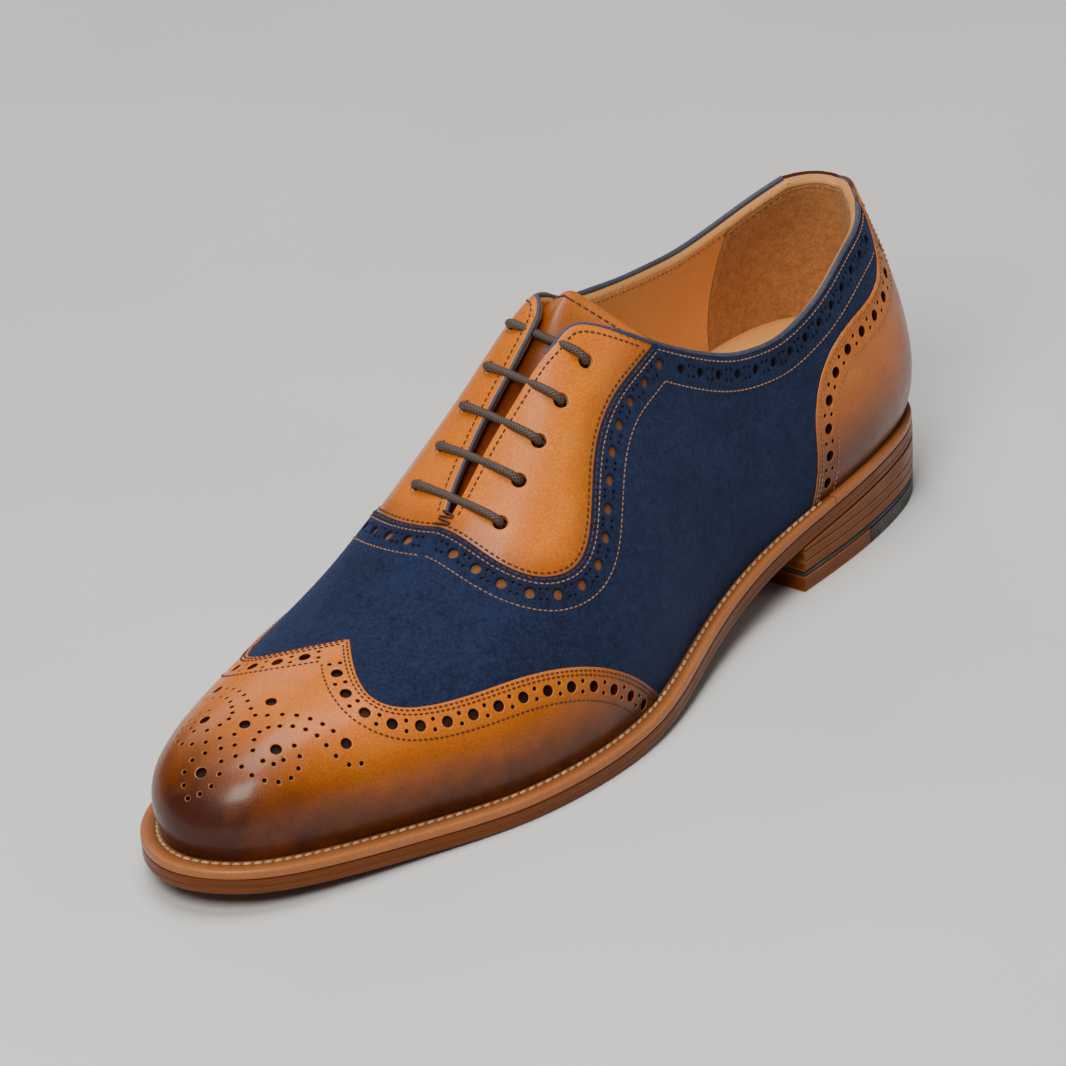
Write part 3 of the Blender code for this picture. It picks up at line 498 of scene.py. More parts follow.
@dataclass
class Line:
    """Run of places on one side of the last."""

    last: Last
    side: int
    around: Array
    up: Array

    @classmethod
    def from_table(cls, last: Last, rows: Sequence[Sequence[float]], side: int,
                   step: float = 1.2 * MM) -> "Line":
        """Smooth line through the rows of an edge table.

        Args:
            last: Surface that the line lies on.
            rows: Rows of around and up.
            side: +1 outer or -1 inner.
            step: Distance between its places.

        Returns:
            The line, evenly spaced.
        """
        table = np.array(rows)
        knots = arc_lengths(last.point(table[:, 0], side, table[:, 1]))
        count = max(3, round(knots[-1] / step) + 1)
        places = np.clip(Spline(knots, table)(np.linspace(0, knots[-1], count)), 0, 1)
        places[0], places[-1] = table[0], table[-1]
        return cls(last, side, places[:, 0], places[:, 1])

    def points(self) -> Array:
        """Points of the line in space."""
        return self.last.point(self.around, self.side, self.up)

    def places(self) -> Places:
        """The line's places."""
        return Places(self.around.copy(), np.full(len(self.around), self.side), self.up.copy())

    def length(self) -> float:
        """Length of the line in space."""
        return float(arc_lengths(self.points())[-1])

    def at(self, wanted: Array) -> "Line":
        """The line with its places at given distances along it."""
        around, up = read_path(self.points(), wanted, np.column_stack([self.around, self.up])).T
        return Line(self.last, self.side, around, up)

    def resampled(self, step: float, start: float = 0.0) -> "Line":
        """The line with places a fixed step apart, from a distance along it."""
        return self.at(np.arange(start, self.length() + 1e-9, step))

    def even(self, step: float) -> "Line":
        """The line with places about a step apart, both ends kept."""
        return self.at(np.linspace(0, self.length(), max(3, round(self.length() / step) + 1)))

    def directions(self) -> tuple[Array, Array, Array]:
        """Ways along the line, to the sole's side of it and out of the surface.

        Returns:
            The three ways, one row per place.
        """
        normals = self.last.slopes(self.around, self.side, self.up)[2]
        along = unit(np.gradient(self.points(), axis=0))
        return along, unit(np.cross(normals, along)) * self.side, normals

    def moved(self, distance: float) -> "Line":
        """The line moved sideways over the surface.

        Args:
            distance: How far, positive towards the sole or the toe for a line that runs to the toe.

        Returns:
            The moved line, cut or drawn out to end where the original ends.
        """
        steps = max(1, math.ceil(abs(distance) / (1.5 * MM)))
        line = self
        for _ in range(steps):
            _, down, _ = line.directions()
            around, up = self.last.travel(line.around, self.side, line.up, down * (distance / steps))
            line = Line(self.last, self.side, around, up).to_centre(self).even(1.2 * MM)
        return line

    def to_centre(self, original: "Line") -> "Line":
        """The line cut at the ridge and the heel, and drawn out to them where the original reaches them.

        Args:
            original: Line that this one was moved from.

        Returns:
            The fitted line.
        """
        around, up = self.around, self.up
        if original.up[-1] > 0.999 and up[-1] < 1:
            rise = max(up[-1] - up[-2], 1e-4)
            push = np.clip((around[-1] - around[-2]) / rise * (1 - up[-1]), -0.02, 0.02)
            around, up = np.append(around, around[-1] + push), np.append(up, 1.0)
        if original.around[0] < 1e-6 and around[0] > 0:
            around, up = np.insert(around, 0, 0.0), np.insert(up, 0, up[0])
        inside = (up <= 1) & (around >= 0) & (up >= 0)
        if inside.sum() < 2:
            return self
        return Line(self.last, self.side, around[inside], up[inside])

    def clear_of(self, others: Sequence["Line"], distance: float) -> "Line":
        """The longest run of the line that keeps a distance from other lines.

        Args:
            others: Lines to keep off.
            distance: How far.

        Returns:
            That run.
        """
        points = self.points()
        keep = np.ones(len(points), bool)
        for other in others:
            gaps = np.linalg.norm(points[:, None] - other.points()[None], axis=2).min(axis=1)
            keep &= gaps >= distance
        runs = np.split(np.arange(len(keep)), np.flatnonzero(np.diff(keep.astype(int))) + 1)
        runs = [run for run in runs if keep[run[0]] and len(run) > 1]
        if not runs:
            return self
        best = max(runs, key=len)
        return Line(self.last, self.side, self.around[best], self.up[best])


@dataclass
class Hole:
    """Punched hole of a panel."""

    around: float
    side: int
    up: float
    radius: float
    through: bool = False


@dataclass
class Punch:
    """Circles round many holes, drawn on the surface from its slopes at their centres."""

    last: Last
    holes: list[Hole]

    def __post_init__(self) -> None:
        """Find the steps of around and up that go with two directions at each centre."""
        self.around, self.side, self.up, self.radius = (
            np.array([getattr(hole, name) for hole in self.holes], float)
            for name in ("around", "side", "up", "radius"))
        along, _, normal = self.last.slopes(self.around, self.side, self.up)
        first = unit(along - normal * np.sum(along * normal, -1, keepdims=True))
        self.steps = []
        for way in (first, np.cross(normal, first)):
            around, up = self.last.travel(self.around, self.side, self.up, way)
            self.steps.append((around - self.around, up - self.up))

    def circles(self, sides: int, wider: float = 0.0, share: float = 1.0) -> Places:
        """Places on a circle round each hole, hole after hole.

        Args:
            sides: Places per circle.
            wider: Added to each radius.
            share: Share of each radius that is drawn.

        Returns:
            The places, folded to the side where each lies.
        """
        turn = np.linspace(0, 2 * math.pi, sides, endpoint=False)
        reach = (self.radius * share + wider)[:, None]
        (a1, u1), (a2, u2) = self.steps
        around = self.around[:, None] + reach * (a1[:, None] * np.cos(turn) + a2[:, None] * np.sin(turn))
        up = self.up[:, None] + reach * (u1[:, None] * np.cos(turn) + u2[:, None] * np.sin(turn))
        side = np.repeat(self.side, sides)
        return Places(around.ravel(), side, up.ravel()).folded()


def contains(polygon: Array, points: Array) -> Array:
    """Which points of the flat map lie in a polygon.

    Args:
        polygon: Corners of the polygon.
        points: Points to test.

    Returns:
        One truth value per point.
    """
    found = np.zeros(len(points), bool)
    x, y = points[:, 0], points[:, 1]
    for (ax, ay), (bx, by) in zip(polygon, np.roll(polygon, -1, axis=0)):
        if ay == by:
            continue
        crossing = (ay > y) != (by > y)
        found ^= crossing & (x < ax + (y - ay) / (by - ay) * (bx - ax))
    return found


class Panel(Enum):
    """Leather pieces of the upper, as they are named in the frame."""

    QUARTERS = "suede_quarters"
    WING = "wing_cap"
    COUNTER = "heel_counter"
    TAB = "back_tab"
    FACING_OUTER = "facing_left"
    FACING_INNER = "facing_right"


@dataclass
class Seams:
    """Edge lines of the panels on both sides, and the lines drawn beside them."""

    last: Last
    lines: dict[str, dict[int, Line]] = field(default_factory=dict)

    def __post_init__(self) -> None:
        """Draw every edge of the tables."""
        tables = {"tab_top": TAB_TOP, "topline": TOPLINE, "facing_top": FACING_TOP,
                  "throat": THROAT_EDGE, "throat_end": THROAT_END, "facing": FACING_EDGE,
                  "wing": {1: WING_EDGE, -1: WING_EDGE}, "counter": COUNTER_EDGE, "tab": TAB_EDGE}
        for name, table in tables.items():
            self.lines[name] = {side: Line.from_table(self.last, table[side], side) for side in (1, -1)}

    def beside(self, name: str, side: int, distance: float,
               clear: Sequence[tuple[str, float]] = ()) -> Line:
        """Line beside an edge, cut where it comes near other edges.

        Args:
            name: Edge that it follows.
            side: Side of the foot.
            distance: Distance from the edge, positive towards the sole or the toe.
            clear: Other edges, with the distance to keep from each.

        Returns:
            The line.
        """
        line = self.lines[name][side].moved(distance)
        for other, gap in clear:
            line = line.clear_of([self.lines[other][side]], gap)
        return line


# Where a punched hole has no room: shares of the way up and round, and the lengths that they are shares of
FEATHER_CLEAR = 0.03
RIDGE_CLEAR = 0.985
BACK_CLEAR = 0.004
UP_LENGTH = 60.0 * MM
AROUND_LENGTH = 300.0 * MM


@dataclass
class Brogue:
    """Punched pattern of the wing tip, counter and quarters."""

    seams: Seams
    large: float = 1.62 * MM
    topline_large: float = 1.4 * MM
    small: float = 0.62 * MM
    pin: float = 0.46 * MM
    band: float = 5.3 * MM
    pitch: float = 8.0 * MM
    topline_pitch: float = 7.2 * MM
    pair: float = 1.45 * MM
    quad: float = 0.95 * MM
    medallion_large: float = 1.55 * MM
    medallion_small: float = 0.66 * MM

    def holes(self) -> list[Hole]:
        """Every hole of the pattern.

        Returns:
            The holes, those of the bands first.
        """
        found: list[Hole] = []
        for side in (1, -1):
            wing = self.seams.beside("wing", side, self.band)
            found += self.band_holes(wing, self.pitch, self.pitch * 0.45, quads=False)
            counter = self.seams.beside("counter", side, -self.band, (("tab", self.band / 2),))
            found += self.band_holes(counter, self.pitch, self.pitch * 0.55, quads=False)
            facing = self.seams.beside("facing", side, self.band, (("topline", self.band * 0.9),))
            found += self.band_holes(facing, self.pitch, self.pitch * 0.05, quads=True)
            topline = self.seams.beside("topline", side, self.band,
                                        (("facing", self.band + self.topline_pitch * 0.8),
                                         ("counter", self.large + 2.6 * MM)))
            found += self.band_holes(topline, self.topline_pitch, 0.0, True, self.topline_large)
            for around, up in EYELETS[side]:
                found.append(Hole(around, side, up, EYELET_RADIUS, through=True))
        return found + self.medallion()

    def band_holes(self, line: Line, pitch: float, start: float, quads: bool,
                   large: Optional[float] = None) -> list[Hole]:
        """Large holes along a line, with small ones between them.

        Args:
            line: Middle of the band.
            pitch: Distance between large holes.
            start: Distance of the first hole from the line's start.
            quads: Whether four pinholes stand between two large ones, and not two small holes.
            large: Radius of the large holes, where it isn't the usual one.

        Returns:
            The holes.
        """
        large = large or self.large
        small = self.pin if quads else self.small
        count = max(1, round((line.length() - start) / pitch))
        half = line.resampled((line.length() - start) / count / 2 - 1e-6, start)
        along, down, _ = half.directions()
        found = []
        for k, (around, up) in enumerate(zip(half.around, half.up)):
            if k % 2 == 0:
                found.append(Hole(float(around), line.side, float(up), large))
                continue
            for across in (-1, 1):
                for ahead in ((-1, 1) if quads else (0,)):
                    way = down[k] * across * self.pair + along[k] * ahead * self.quad
                    there = line.last.travel(np.array([around]), line.side, np.array([up]), way[None])
                    found.append(Hole(float(there[0][0]), line.side, float(there[1][0]), small))
        return [hole for hole in found if self.room(hole)]

    @staticmethod
    def room(hole: Hole) -> bool:
        """Whether a hole stands clear of the centre line, the heel's back and the feather line."""
        low, high = FEATHER_CLEAR, RIDGE_CLEAR - hole.radius / UP_LENGTH
        return low < hole.up < high and hole.around > BACK_CLEAR + hole.radius / AROUND_LENGTH

    def medallion(self) -> list[Hole]:
        """Holes of the toe's medallion, drawn on a plan and dropped on the last.

        Returns:
            The holes.
        """
        last = self.seams.last
        end = last.ridge_point(np.array(RIDGE[-2][0] * last.sole_length))
        found = []
        grid_a, side, grid_u = (axis.ravel() for axis in np.meshgrid(
            np.linspace(0.78, 1.0, 60), (1, -1), np.linspace(0.1, 0.99, 80), indexing="ij"))
        samples = Places(grid_a, side, grid_u)
        plans = samples.points(last)[:, :2]
        tables = ((MEDALLION_LARGE, self.medallion_large), (MEDALLION_SMALL, self.medallion_small))
        for table, radius in tables:
            for ahead, aside in table:
                for hand in ((1, -1) if aside else (1,)):
                    plan = end[:2] + np.array([ahead, hand * aside - MEDALLION_SLOPE * ahead]) * MM
                    nearest = np.linalg.norm(plans - plan, axis=1).argmin()
                    found.append(self.dropped(plan, samples.taken([nearest]), radius))
        return found

    def dropped(self, plan: Array, start: Places, radius: float) -> Hole:
        """Hole under a point of the plan.

        Args:
            plan: The point's x and y.
            start: One place near it.
            radius: Radius of the hole.

        Returns:
            The hole, its place refined from the start.
        """
        last = self.seams.last
        a, side, u = start.around[0], start.side[0], start.up[0]
        h = last.step
        for _ in range(6):
            here = last.point(a, side, u)[:2]
            along = (last.point(a + h, side, u)[:2] - here) / h
            across = (last.point(a, side, u + h)[:2] - here) / h
            step = np.linalg.lstsq(np.column_stack([along, across]), plan - here, rcond=None)[0]
            a, u = a + float(np.clip(step[0], -0.02, 0.02)), u + float(np.clip(step[1], -0.05, 0.05))
        place = Places(np.array([a]), np.array([side]), np.array([u])).folded()
        return Hole(float(place.around[0]), int(place.side[0]), float(place.up[0]), radius)


WAVE_HEIGHT = 0.20 * MM


def relief(points: Array) -> Array:
    """Slow waves of the leather over the last, level near the sole and the collar.

    Args:
        points: Points of the last.

    Returns:
        Height at each point.
    """
    x, y, z = (points[:, k] / MM for k in range(3))
    waves = 0.5 * np.sin(x / 13.0 + y / 19.0) * np.sin(z / 11.0 + x / 31.0)
    waves += 0.5 * np.sin(x / 7.5 - z / 9.0 + 1.3) * np.sin(y / 8.0 + 0.4)
    fade = np.clip((z - 14.0) / 22.0, 0, 1) * np.clip((92.0 - z) / 25.0, 0, 1)
    toe = np.clip((262.0 - x) / 30.0, 0.12, 1)
    return waves * fade * toe * WAVE_HEIGHT


# Longest distance to an edge that a mark tells apart
GAP_REACH = 10.0 * MM


def sample_tree(samples: Array) -> KDTree:
    """Search tree of points.

    Args:
        samples: The points.

    Returns:
        The tree.
    """
    tree = KDTree(len(samples))
    for k, sample in enumerate(samples):
        tree.insert(sample, k)
    tree.balance()
    return tree


@dataclass
class Net:
    """The whole upper as one net of triangles, with seams, holes and eyelets on its edges."""

    last: Last
    seams: Seams
    holes: list[Hole]
    clear: float = 1.35 * MM
    rings: tuple[float, ...] = (0.16 * MM, 0.42 * MM)
    stations: int = 170
    rows: int = 60

    def __post_init__(self) -> None:
        """Gather the places, cut the net and sort its triangles."""
        self.sets: list[Places] = []
        self.links: list[tuple[int, int]] = []
        self.count = 0
        self.hole_ids: list[Array] = []
        self.add_seams()
        self.rim_tree: Optional[KDTree] = None
        self.centre_tree: Optional[KDTree] = None
        self.add_holes()
        self.add_interior()
        self.cut()

    def add(self, places: Places, linked: bool = False, hole: Optional[Array] = None) -> None:
        """Keep places.

        Args:
            places: Places to keep.
            linked: Whether the run is kept as edges of the net.
            hole: Number of the hole on whose rim each place lies.
        """
        size = len(places.around)
        if linked:
            ids = list(range(self.count, self.count + size))
            self.links += list(zip(ids, ids[1:]))
        self.sets.append(places)
        self.hole_ids.append(np.full(size, -1) if hole is None else hole)
        self.count += size

    def add_seams(self) -> None:
        """Panel edges, the feather line and rows of places beside the edges that roll."""
        self.loops: dict[str, dict[int, Places]] = {}
        for side in (1, -1):
            lines = {name: pair[side] for name, pair in self.seams.lines.items()}
            stations = np.linspace(0, 1, self.stations * 2)
            ends = np.array([lines["wing"].around[0], lines["counter"].around[0]])
            around = np.unique(np.concatenate([stations, ends]))
            feather = Places(around, np.full(len(around), side), np.zeros(len(around)))
            self.add(feather, linked=True)
            for name, line in lines.items():
                self.add(line.places(), linked=True)
                _, down, _ = line.directions()
                ring_side = -1 if name in ("counter", "tab") else 1
                for distance in self.rings:
                    around, up = self.last.travel(line.around, side, line.up, down * distance * ring_side)
                    ok = (up < 0.9995) & (up > 0.003) & (around > 5e-4)
                    self.add(Places(around[ok], np.full(int(ok.sum()), side), up[ok]))
            self.note_loops(side, lines, feather)

    def note_loops(self, side: int, lines: dict[str, Line], feather: Places) -> None:
        """Half outlines of the panels on one side, each from one centre line to the other.

        Args:
            side: Side of the foot.
            lines: Edge lines of that side.
            feather: Places on the feather line.
        """
        runs = {name: line.places() for name, line in lines.items()}
        wing_from = feather.taken(feather.around >= runs["wing"].around[0] - 1e-9)
        counter_to = feather.taken(feather.around <= runs["counter"].around[0] + 1e-9)
        backwards = {name: run.taken(np.arange(len(run.around))[::-1]) for name, run in runs.items()}
        opening = Places.joined([runs["tab_top"], runs["topline"], runs["facing_top"], runs["throat"],
                                 runs["throat_end"]])
        halves = {
            "outline": feather,
            "opening": opening,
            "wing": Places.joined([backwards["wing"], wing_from]),
            "tab": Places.joined([runs["tab_top"], backwards["tab"]]),
            "counter": Places.joined([counter_to, runs["counter"], backwards["tab"]]),
        }
        for name, run in halves.items():
            self.loops.setdefault(name, {})[side] = run
        facing = Places.joined([runs["facing"], backwards["throat_end"], backwards["throat"],
                                backwards["facing_top"]])
        self.loops.setdefault("facing", {})[side] = facing

    def polygon(self, name: str, side: Optional[int] = None) -> Array:
        """Outline of a panel in the flat map, of one side or of both together.

        Args:
            name: Which outline.
            side: Side of the foot, or none for both.

        Returns:
            Its corners.
        """
        if side is not None:
            run = self.loops[name][side]
            return self.last.flat(run.around, run.side, run.up)
        parts = []
        for one, order in ((1, 1), (-1, -1)):
            run = self.loops[name][one]
            parts.append(self.last.flat(run.around, run.side, run.up)[::order])
        return np.concatenate(parts)

    def add_holes(self) -> None:
        """Rims of the holes, with a row of places round each."""
        self.groups = []
        for large in (True, False):
            numbers = [k for k, hole in enumerate(self.holes) if (hole.radius > MM) is large]
            if not numbers:
                continue
            punch = Punch(self.last, [self.holes[k] for k in numbers])
            sides = 18 if large else 8
            self.groups.append((punch, sides, numbers))
            rims = punch.circles(sides)
            ids = self.count + np.arange(len(rims.around)).reshape(-1, sides)
            self.links += list(zip(ids.ravel().tolist(), np.roll(ids, -1, axis=1).ravel().tolist()))
            self.add(rims, hole=np.repeat(numbers, sides))
            for width in ((0.14 * MM, 0.45 * MM) if large else (0.14 * MM, 0.36 * MM)):
                self.add(self.outside_others(punch.circles(sides, width), np.repeat(numbers, sides)))
            self.add(punch.circles(4, share=0.5))

    def outside_others(self, places: Places, own: Array) -> Places:
        """Places round holes that don't lie in or beside another hole.

        Args:
            places: Places to sort.
            own: Number of the hole that each was drawn round.

        Returns:
            Those that are kept.
        """
        if self.centre_tree is None:
            around, side, up = (np.array([getattr(hole, name) for hole in self.holes], float)
                                for name in ("around", "side", "up"))
            self.centre_tree = sample_tree(Places(around, side, up).points(self.last))
        keep = np.ones(len(places.around), bool)
        for k, (point, number) in enumerate(zip(places.points(self.last), own)):
            for _, other, gap in self.centre_tree.find_n(point, 4):
                if other != number and gap < self.holes[other].radius + 0.11 * MM:
                    keep[k] = False
        return places.taken(keep)

    def add_interior(self) -> None:
        """Places spread over the panels, clear of what is there."""
        around, up = (axis.ravel() for axis in np.meshgrid(
            np.linspace(0, 1, self.stations), np.linspace(0.012, 1, self.rows), indexing="ij"))
        taken: dict[tuple[int, int, int], list[Array]] = {}

        def near(point: Array, cell: tuple[int, int, int]) -> bool:
            """Whether a kept point lies too near."""
            for shift in product((-1, 0, 1), repeat=3):
                for other in taken.get(tuple(c + s for c, s in zip(cell, shift)), ()):
                    if np.dot(point - other, point - other) < self.clear * self.clear:
                        return True
            return False

        for point in Places.joined(self.sets).points(self.last):
            taken.setdefault(tuple((point // self.clear).astype(int)), []).append(point)
        kept = []
        for side in (1, -1):
            for k, point in enumerate(self.last.point(around, side, up)):
                cell = tuple((point // self.clear).astype(int))
                if not near(point, cell):
                    taken.setdefault(cell, []).append(point)
                    kept.append((around[k], side, up[k]))
        self.add(Places(*np.array(kept).T))

    def cut(self) -> None:
        """Cut the flat map into triangles that keep every edge, and name the panel of each."""
        places = Places.joined(self.sets)
        hole_ids = np.concatenate(self.hole_ids)
        flat = self.last.flat(places.around, places.side, places.up)
        result = delaunay_2d_cdt([Vector(p) for p in flat], self.links, [], 0, 1e-4)
        tree = sample_tree(np.column_stack([flat, np.zeros(len(flat))]))
        origins = np.array([ids[0] if ids else tree.find((*result[0][k], 0))[1]
                            for k, ids in enumerate(result[3])])
        rim_ids = np.array([max((hole_ids[i] for i in ids), default=-1) for ids in result[3]])
        faces = np.array([face for face in result[2] if len(face) == 3])
        middles = np.array([tuple(p) for p in result[0]])[faces].mean(axis=1)
        rims = rim_ids[faces]
        in_hole = (rims[:, 0] >= 0) & (rims[:, 0] == rims[:, 1]) & (rims[:, 1] == rims[:, 2])
        in_hole |= self.inside_holes(middles)
        keep = contains(self.polygon("outline"), middles) & ~contains(self.polygon("opening"), middles)
        self.places = places.taken(origins)
        self.points = self.places.points(self.last)
        spans = self.points[faces]
        keep &= np.linalg.norm(np.cross(spans[:, 1] - spans[:, 0], spans[:, 2] - spans[:, 0]), axis=1) > 0
        self.faces = faces[keep]
        self.in_hole = in_hole[keep]
        self.through = self.inside_holes(middles[keep], through=True)
        self.panels = self.sorted_panels(middles[keep])
        self.normals = vertex_normals(self.points, self.faces)
        wrong = np.sum(self.normals * self.places.normals(self.last), axis=1) < 0
        if wrong.mean() > 0.5:
            self.faces = self.faces[:, ::-1]
            self.normals = -self.normals
        self.lift = relief(self.points)

    def inside_holes(self, middles: Array, through: bool = False) -> Array:
        """Which points of the flat map lie in a punched hole.

        Args:
            middles: Points of the flat map.
            through: Whether only the eyelets count.

        Returns:
            One truth value per point.
        """
        found = np.zeros(len(middles), bool)
        for punch, sides, numbers in self.groups:
            rims = punch.circles(sides)
            flat = self.last.flat(rims.around, rims.side, rims.up).reshape(-1, sides, 2)
            for polygon, number in zip(flat, numbers):
                if through and not self.holes[number].through:
                    continue
                low, high = polygon.min(axis=0), polygon.max(axis=0)
                near = np.flatnonzero(((middles >= low) & (middles <= high)).all(axis=1))
                found[near] |= contains(polygon, middles[near])
        return found

    def hole_gaps(self, points: Array) -> Array:
        """Distance of points to the nearest rim of a hole.

        Args:
            points: Points to measure from.

        Returns:
            The distances, none over GAP_REACH.
        """
        if self.rim_tree is None:
            samples = np.concatenate([punch.circles(sides * 3).points(self.last)
                                      for punch, sides, _ in self.groups])
            self.rim_tree = sample_tree(samples)
        return np.array([min(self.rim_tree.find(point)[2], GAP_REACH) for point in points])

    def sorted_panels(self, middles: Array) -> Array:
        """Panel of each triangle, by its place in the list of panels.

        Args:
            middles: Middles of the triangles in the flat map.

        Returns:
            One panel number per triangle.
        """
        order = list(Panel)
        panels = np.full(len(middles), order.index(Panel.QUARTERS))
        tests = ((Panel.FACING_INNER, "facing", -1), (Panel.FACING_OUTER, "facing", 1),
                 (Panel.COUNTER, "counter", None), (Panel.TAB, "tab", None), (Panel.WING, "wing", None))
        for panel, name, side in tests:
            panels[contains(self.polygon(name, side), middles)] = order.index(panel)
        return panels


def vertex_normals(points: Array, faces: Array) -> Array:
    """Way out of a net at each of its points.

    Args:
        points: Points of the net.
        faces: Its triangles.

    Returns:
        Ways of length one.
    """
    corners = points[faces]
    across = np.cross(corners[:, 1] - corners[:, 0], corners[:, 2] - corners[:, 0])
    normals = np.zeros_like(points)
    for k in range(3):
        np.add.at(normals, faces[:, k], across)
    return unit(normals)


def open_edges(faces: Array) -> list[tuple[int, int]]:
    """Edges with a triangle on one side only, in that triangle's order.

    Args:
        faces: Triangles.

    Returns:
        The edges, as pairs of point numbers.
    """
    edges = np.concatenate([faces[:, [0, 1]], faces[:, [1, 2]], faces[:, [2, 0]]])
    known = set(map(tuple, edges.tolist()))
    return [(a, b) for a, b in known if (b, a) not in known]


def grid_faces(rows: int, columns: int, ring: bool = False) -> list[tuple[int, ...]]:
    """Four-sided faces between the rows of a grid of points; each row may be a ring.

    Args:
        rows: Number of rows.
        columns: Points in a row.
        ring: Whether a row's last point joins its first.

    Returns:
        The faces, as tuples of point numbers.
    """
    faces = []
    for row in range(rows - 1):
        for k in range(columns if ring else columns - 1):
            a, b = row * columns + k, row * columns + (k + 1) % columns
            faces.append((a, b, b + columns, a + columns))
    return faces


def tube_faces(rings: int, sides: int) -> list[tuple[int, ...]]:
    """Faces of a closed body through rings of points, with a flat cap at each end."""
    end = (rings - 1) * sides
    return grid_faces(rings, sides, ring=True) + [tuple(range(sides))[::-1], tuple(range(end, end + sides))]


def sheet_faces(faces: Sequence[Sequence[int]], triangles: Array) -> list[tuple[int, ...]]:
    """Faces of a sheet with thickness, whose lower points follow its upper ones.

    Args:
        faces: Faces of the upper side.
        triangles: The same faces as triangles.

    Returns:
        The upper faces, the lower ones and the walls between them.
    """
    count = int(triangles.max()) + 1
    walls = [(b, a, count + a, count + b) for a, b in open_edges(triangles)]
    return [tuple(f) for f in faces] + [tuple(count + k for k in f[::-1]) for f in faces] + walls


@dataclass
class Shape:
    """Mesh in the making."""

    last: Last
    name: str
    points: Array
    faces: Sequence[Sequence[int]]
    marks: dict[str, Array] = field(default_factory=dict)

    def build(self, material: Material, slot: str, stands_for: Sequence[str] = (),
              sharp: float = 60.0) -> None:
        """Make the object and hang it on the frame.

        Args:
            material: Material of the object.
            slot: Not used.
            stands_for: CAD nodes that the piece replaces.
            sharp: Angle in degrees above which an edge stays sharp.
        """
        mesh = bpy.data.meshes.new(self.name)
        placed = np.asarray(self.points) - self.last.shift
        mesh.from_pydata(placed.tolist(), [], [list(map(int, face)) for face in self.faces])
        mesh.materials.append(material)
        for name, values in self.marks.items():
            attribute = mesh.attributes.new(name, "FLOAT", "POINT")
            attribute.data.foreach_set("value", np.asarray(values, np.float32))
        mesh.validate()
        mesh.shade_smooth()
        mesh.set_sharp_from_angle(angle=math.radians(sharp))
        piece = bpy.data.objects.new(self.name, mesh)
        bpy.context.scene.collection.objects.link(piece)
        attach(piece, BODY)
        if stands_for:
            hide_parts(*stands_for)
        LOG.info("%s: %d faces", self.name, len(mesh.polygons))


def sweep(centres: Array, first: Array, second: Array, radii: Array, sides: int) -> tuple[Array, Array]:
    """Points of a tube round a path, ring after ring.

    Args:
        centres: Points of the path.
        first: Cross direction at each point.
        second: Other cross direction at each point.
        radii: Half widths along the two directions, one pair per point.
        sides: Number of sides.

    Returns:
        The points, and the turn round the tube of each.
    """
    turn = np.linspace(0, 2 * math.pi, sides, endpoint=False)
    wide = first[:, None] * np.cos(turn)[None, :, None] * radii[:, 0, None, None]
    high = second[:, None] * np.sin(turn)[None, :, None] * radii[:, 1, None, None]
    return (centres[:, None] + wide + high).reshape(-1, 3), np.tile(turn, len(centres))


# Cross sections of a stitch: share of its length from its middle, size, and rise as a share of its height
STITCH_PROFILE = (
    (-0.5, 0.45, -0.9), (-0.42, 0.8, -0.25), (-0.18, 1.0, 0.12), (0.18, 1.0, 0.12), (0.42, 0.8, -0.25),
    (0.5, 0.45, -0.9),
)
STITCH_SIDES = 6


@dataclass
class Stitches:
    """Rows of sewn stitches, gathered into one piece."""

    last: Last
    name: str
    pitch: float = 1.6 * MM
    length: float = 1.15 * MM
    width: float = 0.44 * MM
    height: float = 0.40 * MM
    sunk: float = 0.3
    lean: float = 0.0
    centres: list[Array] = field(default_factory=list)
    ways: list[Array] = field(default_factory=list)
    outs: list[Array] = field(default_factory=list)

    def row(self, line: Line, level: float) -> None:
        """Sew along a line of the last.

        Args:
            line: Line to follow.
            level: Height of the leather over the last.
        """
        count = max(2, round(line.length() / self.pitch))
        spots = line.resampled(line.length() / count - 1e-7, self.pitch / 2)
        if len(spots.around) < 3:
            return
        along, _, normals = spots.directions()
        points = spots.points()
        self.path(points + normals * (level + relief(points))[:, None], along, normals)

    def path(self, points: Array, along: Array, normals: Array) -> None:
        """Sew at points with given directions.

        Args:
            points: Middles of the stitches.
            along: Ways along the row.
            normals: Ways out of the leather.
        """
        along = unit(along + np.cross(normals, along) * math.tan(self.lean))
        self.centres.append(points)
        self.ways.append(along)
        self.outs.append(unit(normals - along * np.sum(normals * along, -1, keepdims=True)))

    def build(self, material: Material, slot: str) -> None:
        """Make every stitch as a rounded bar that dips at its ends.

        Args:
            material: Thread.
            slot: Record slot of the leather that it is sewn on.
        """
        turn = np.linspace(0, 2 * math.pi, STITCH_SIDES, endpoint=False)
        bar = np.concatenate([np.column_stack([
            np.full(STITCH_SIDES, place * self.length), np.cos(turn) * size * self.width / 2,
            (np.sin(turn) * size + rise) * self.height / 2]) for place, size, rise in STITCH_PROFILE])
        along, normals = np.concatenate(self.ways), np.concatenate(self.outs)
        centres = np.concatenate(self.centres) + normals * self.height * (0.5 - self.sunk)
        ways = (along, np.cross(normals, along), normals)
        points = centres[:, None] + sum(bar[None, :, k:k + 1] * ways[k][:, None] for k in range(3))
        starts = np.arange(len(centres)) * len(bar)
        bar_faces = tube_faces(len(STITCH_PROFILE), STITCH_SIDES)
        faces = [tuple(int(start) + i for i in face) for start in starts for face in bar_faces]
        marks = {"along": np.tile(bar[:, 0] / self.length + 0.5, len(centres)),
                 "tone": np.repeat(np.modf(np.sin(starts * 12.9898) * 43758.5453)[0] ** 2, len(bar))}
        Shape(self.last, self.name, points.reshape(-1, 3), faces, marks).build(material, slot)


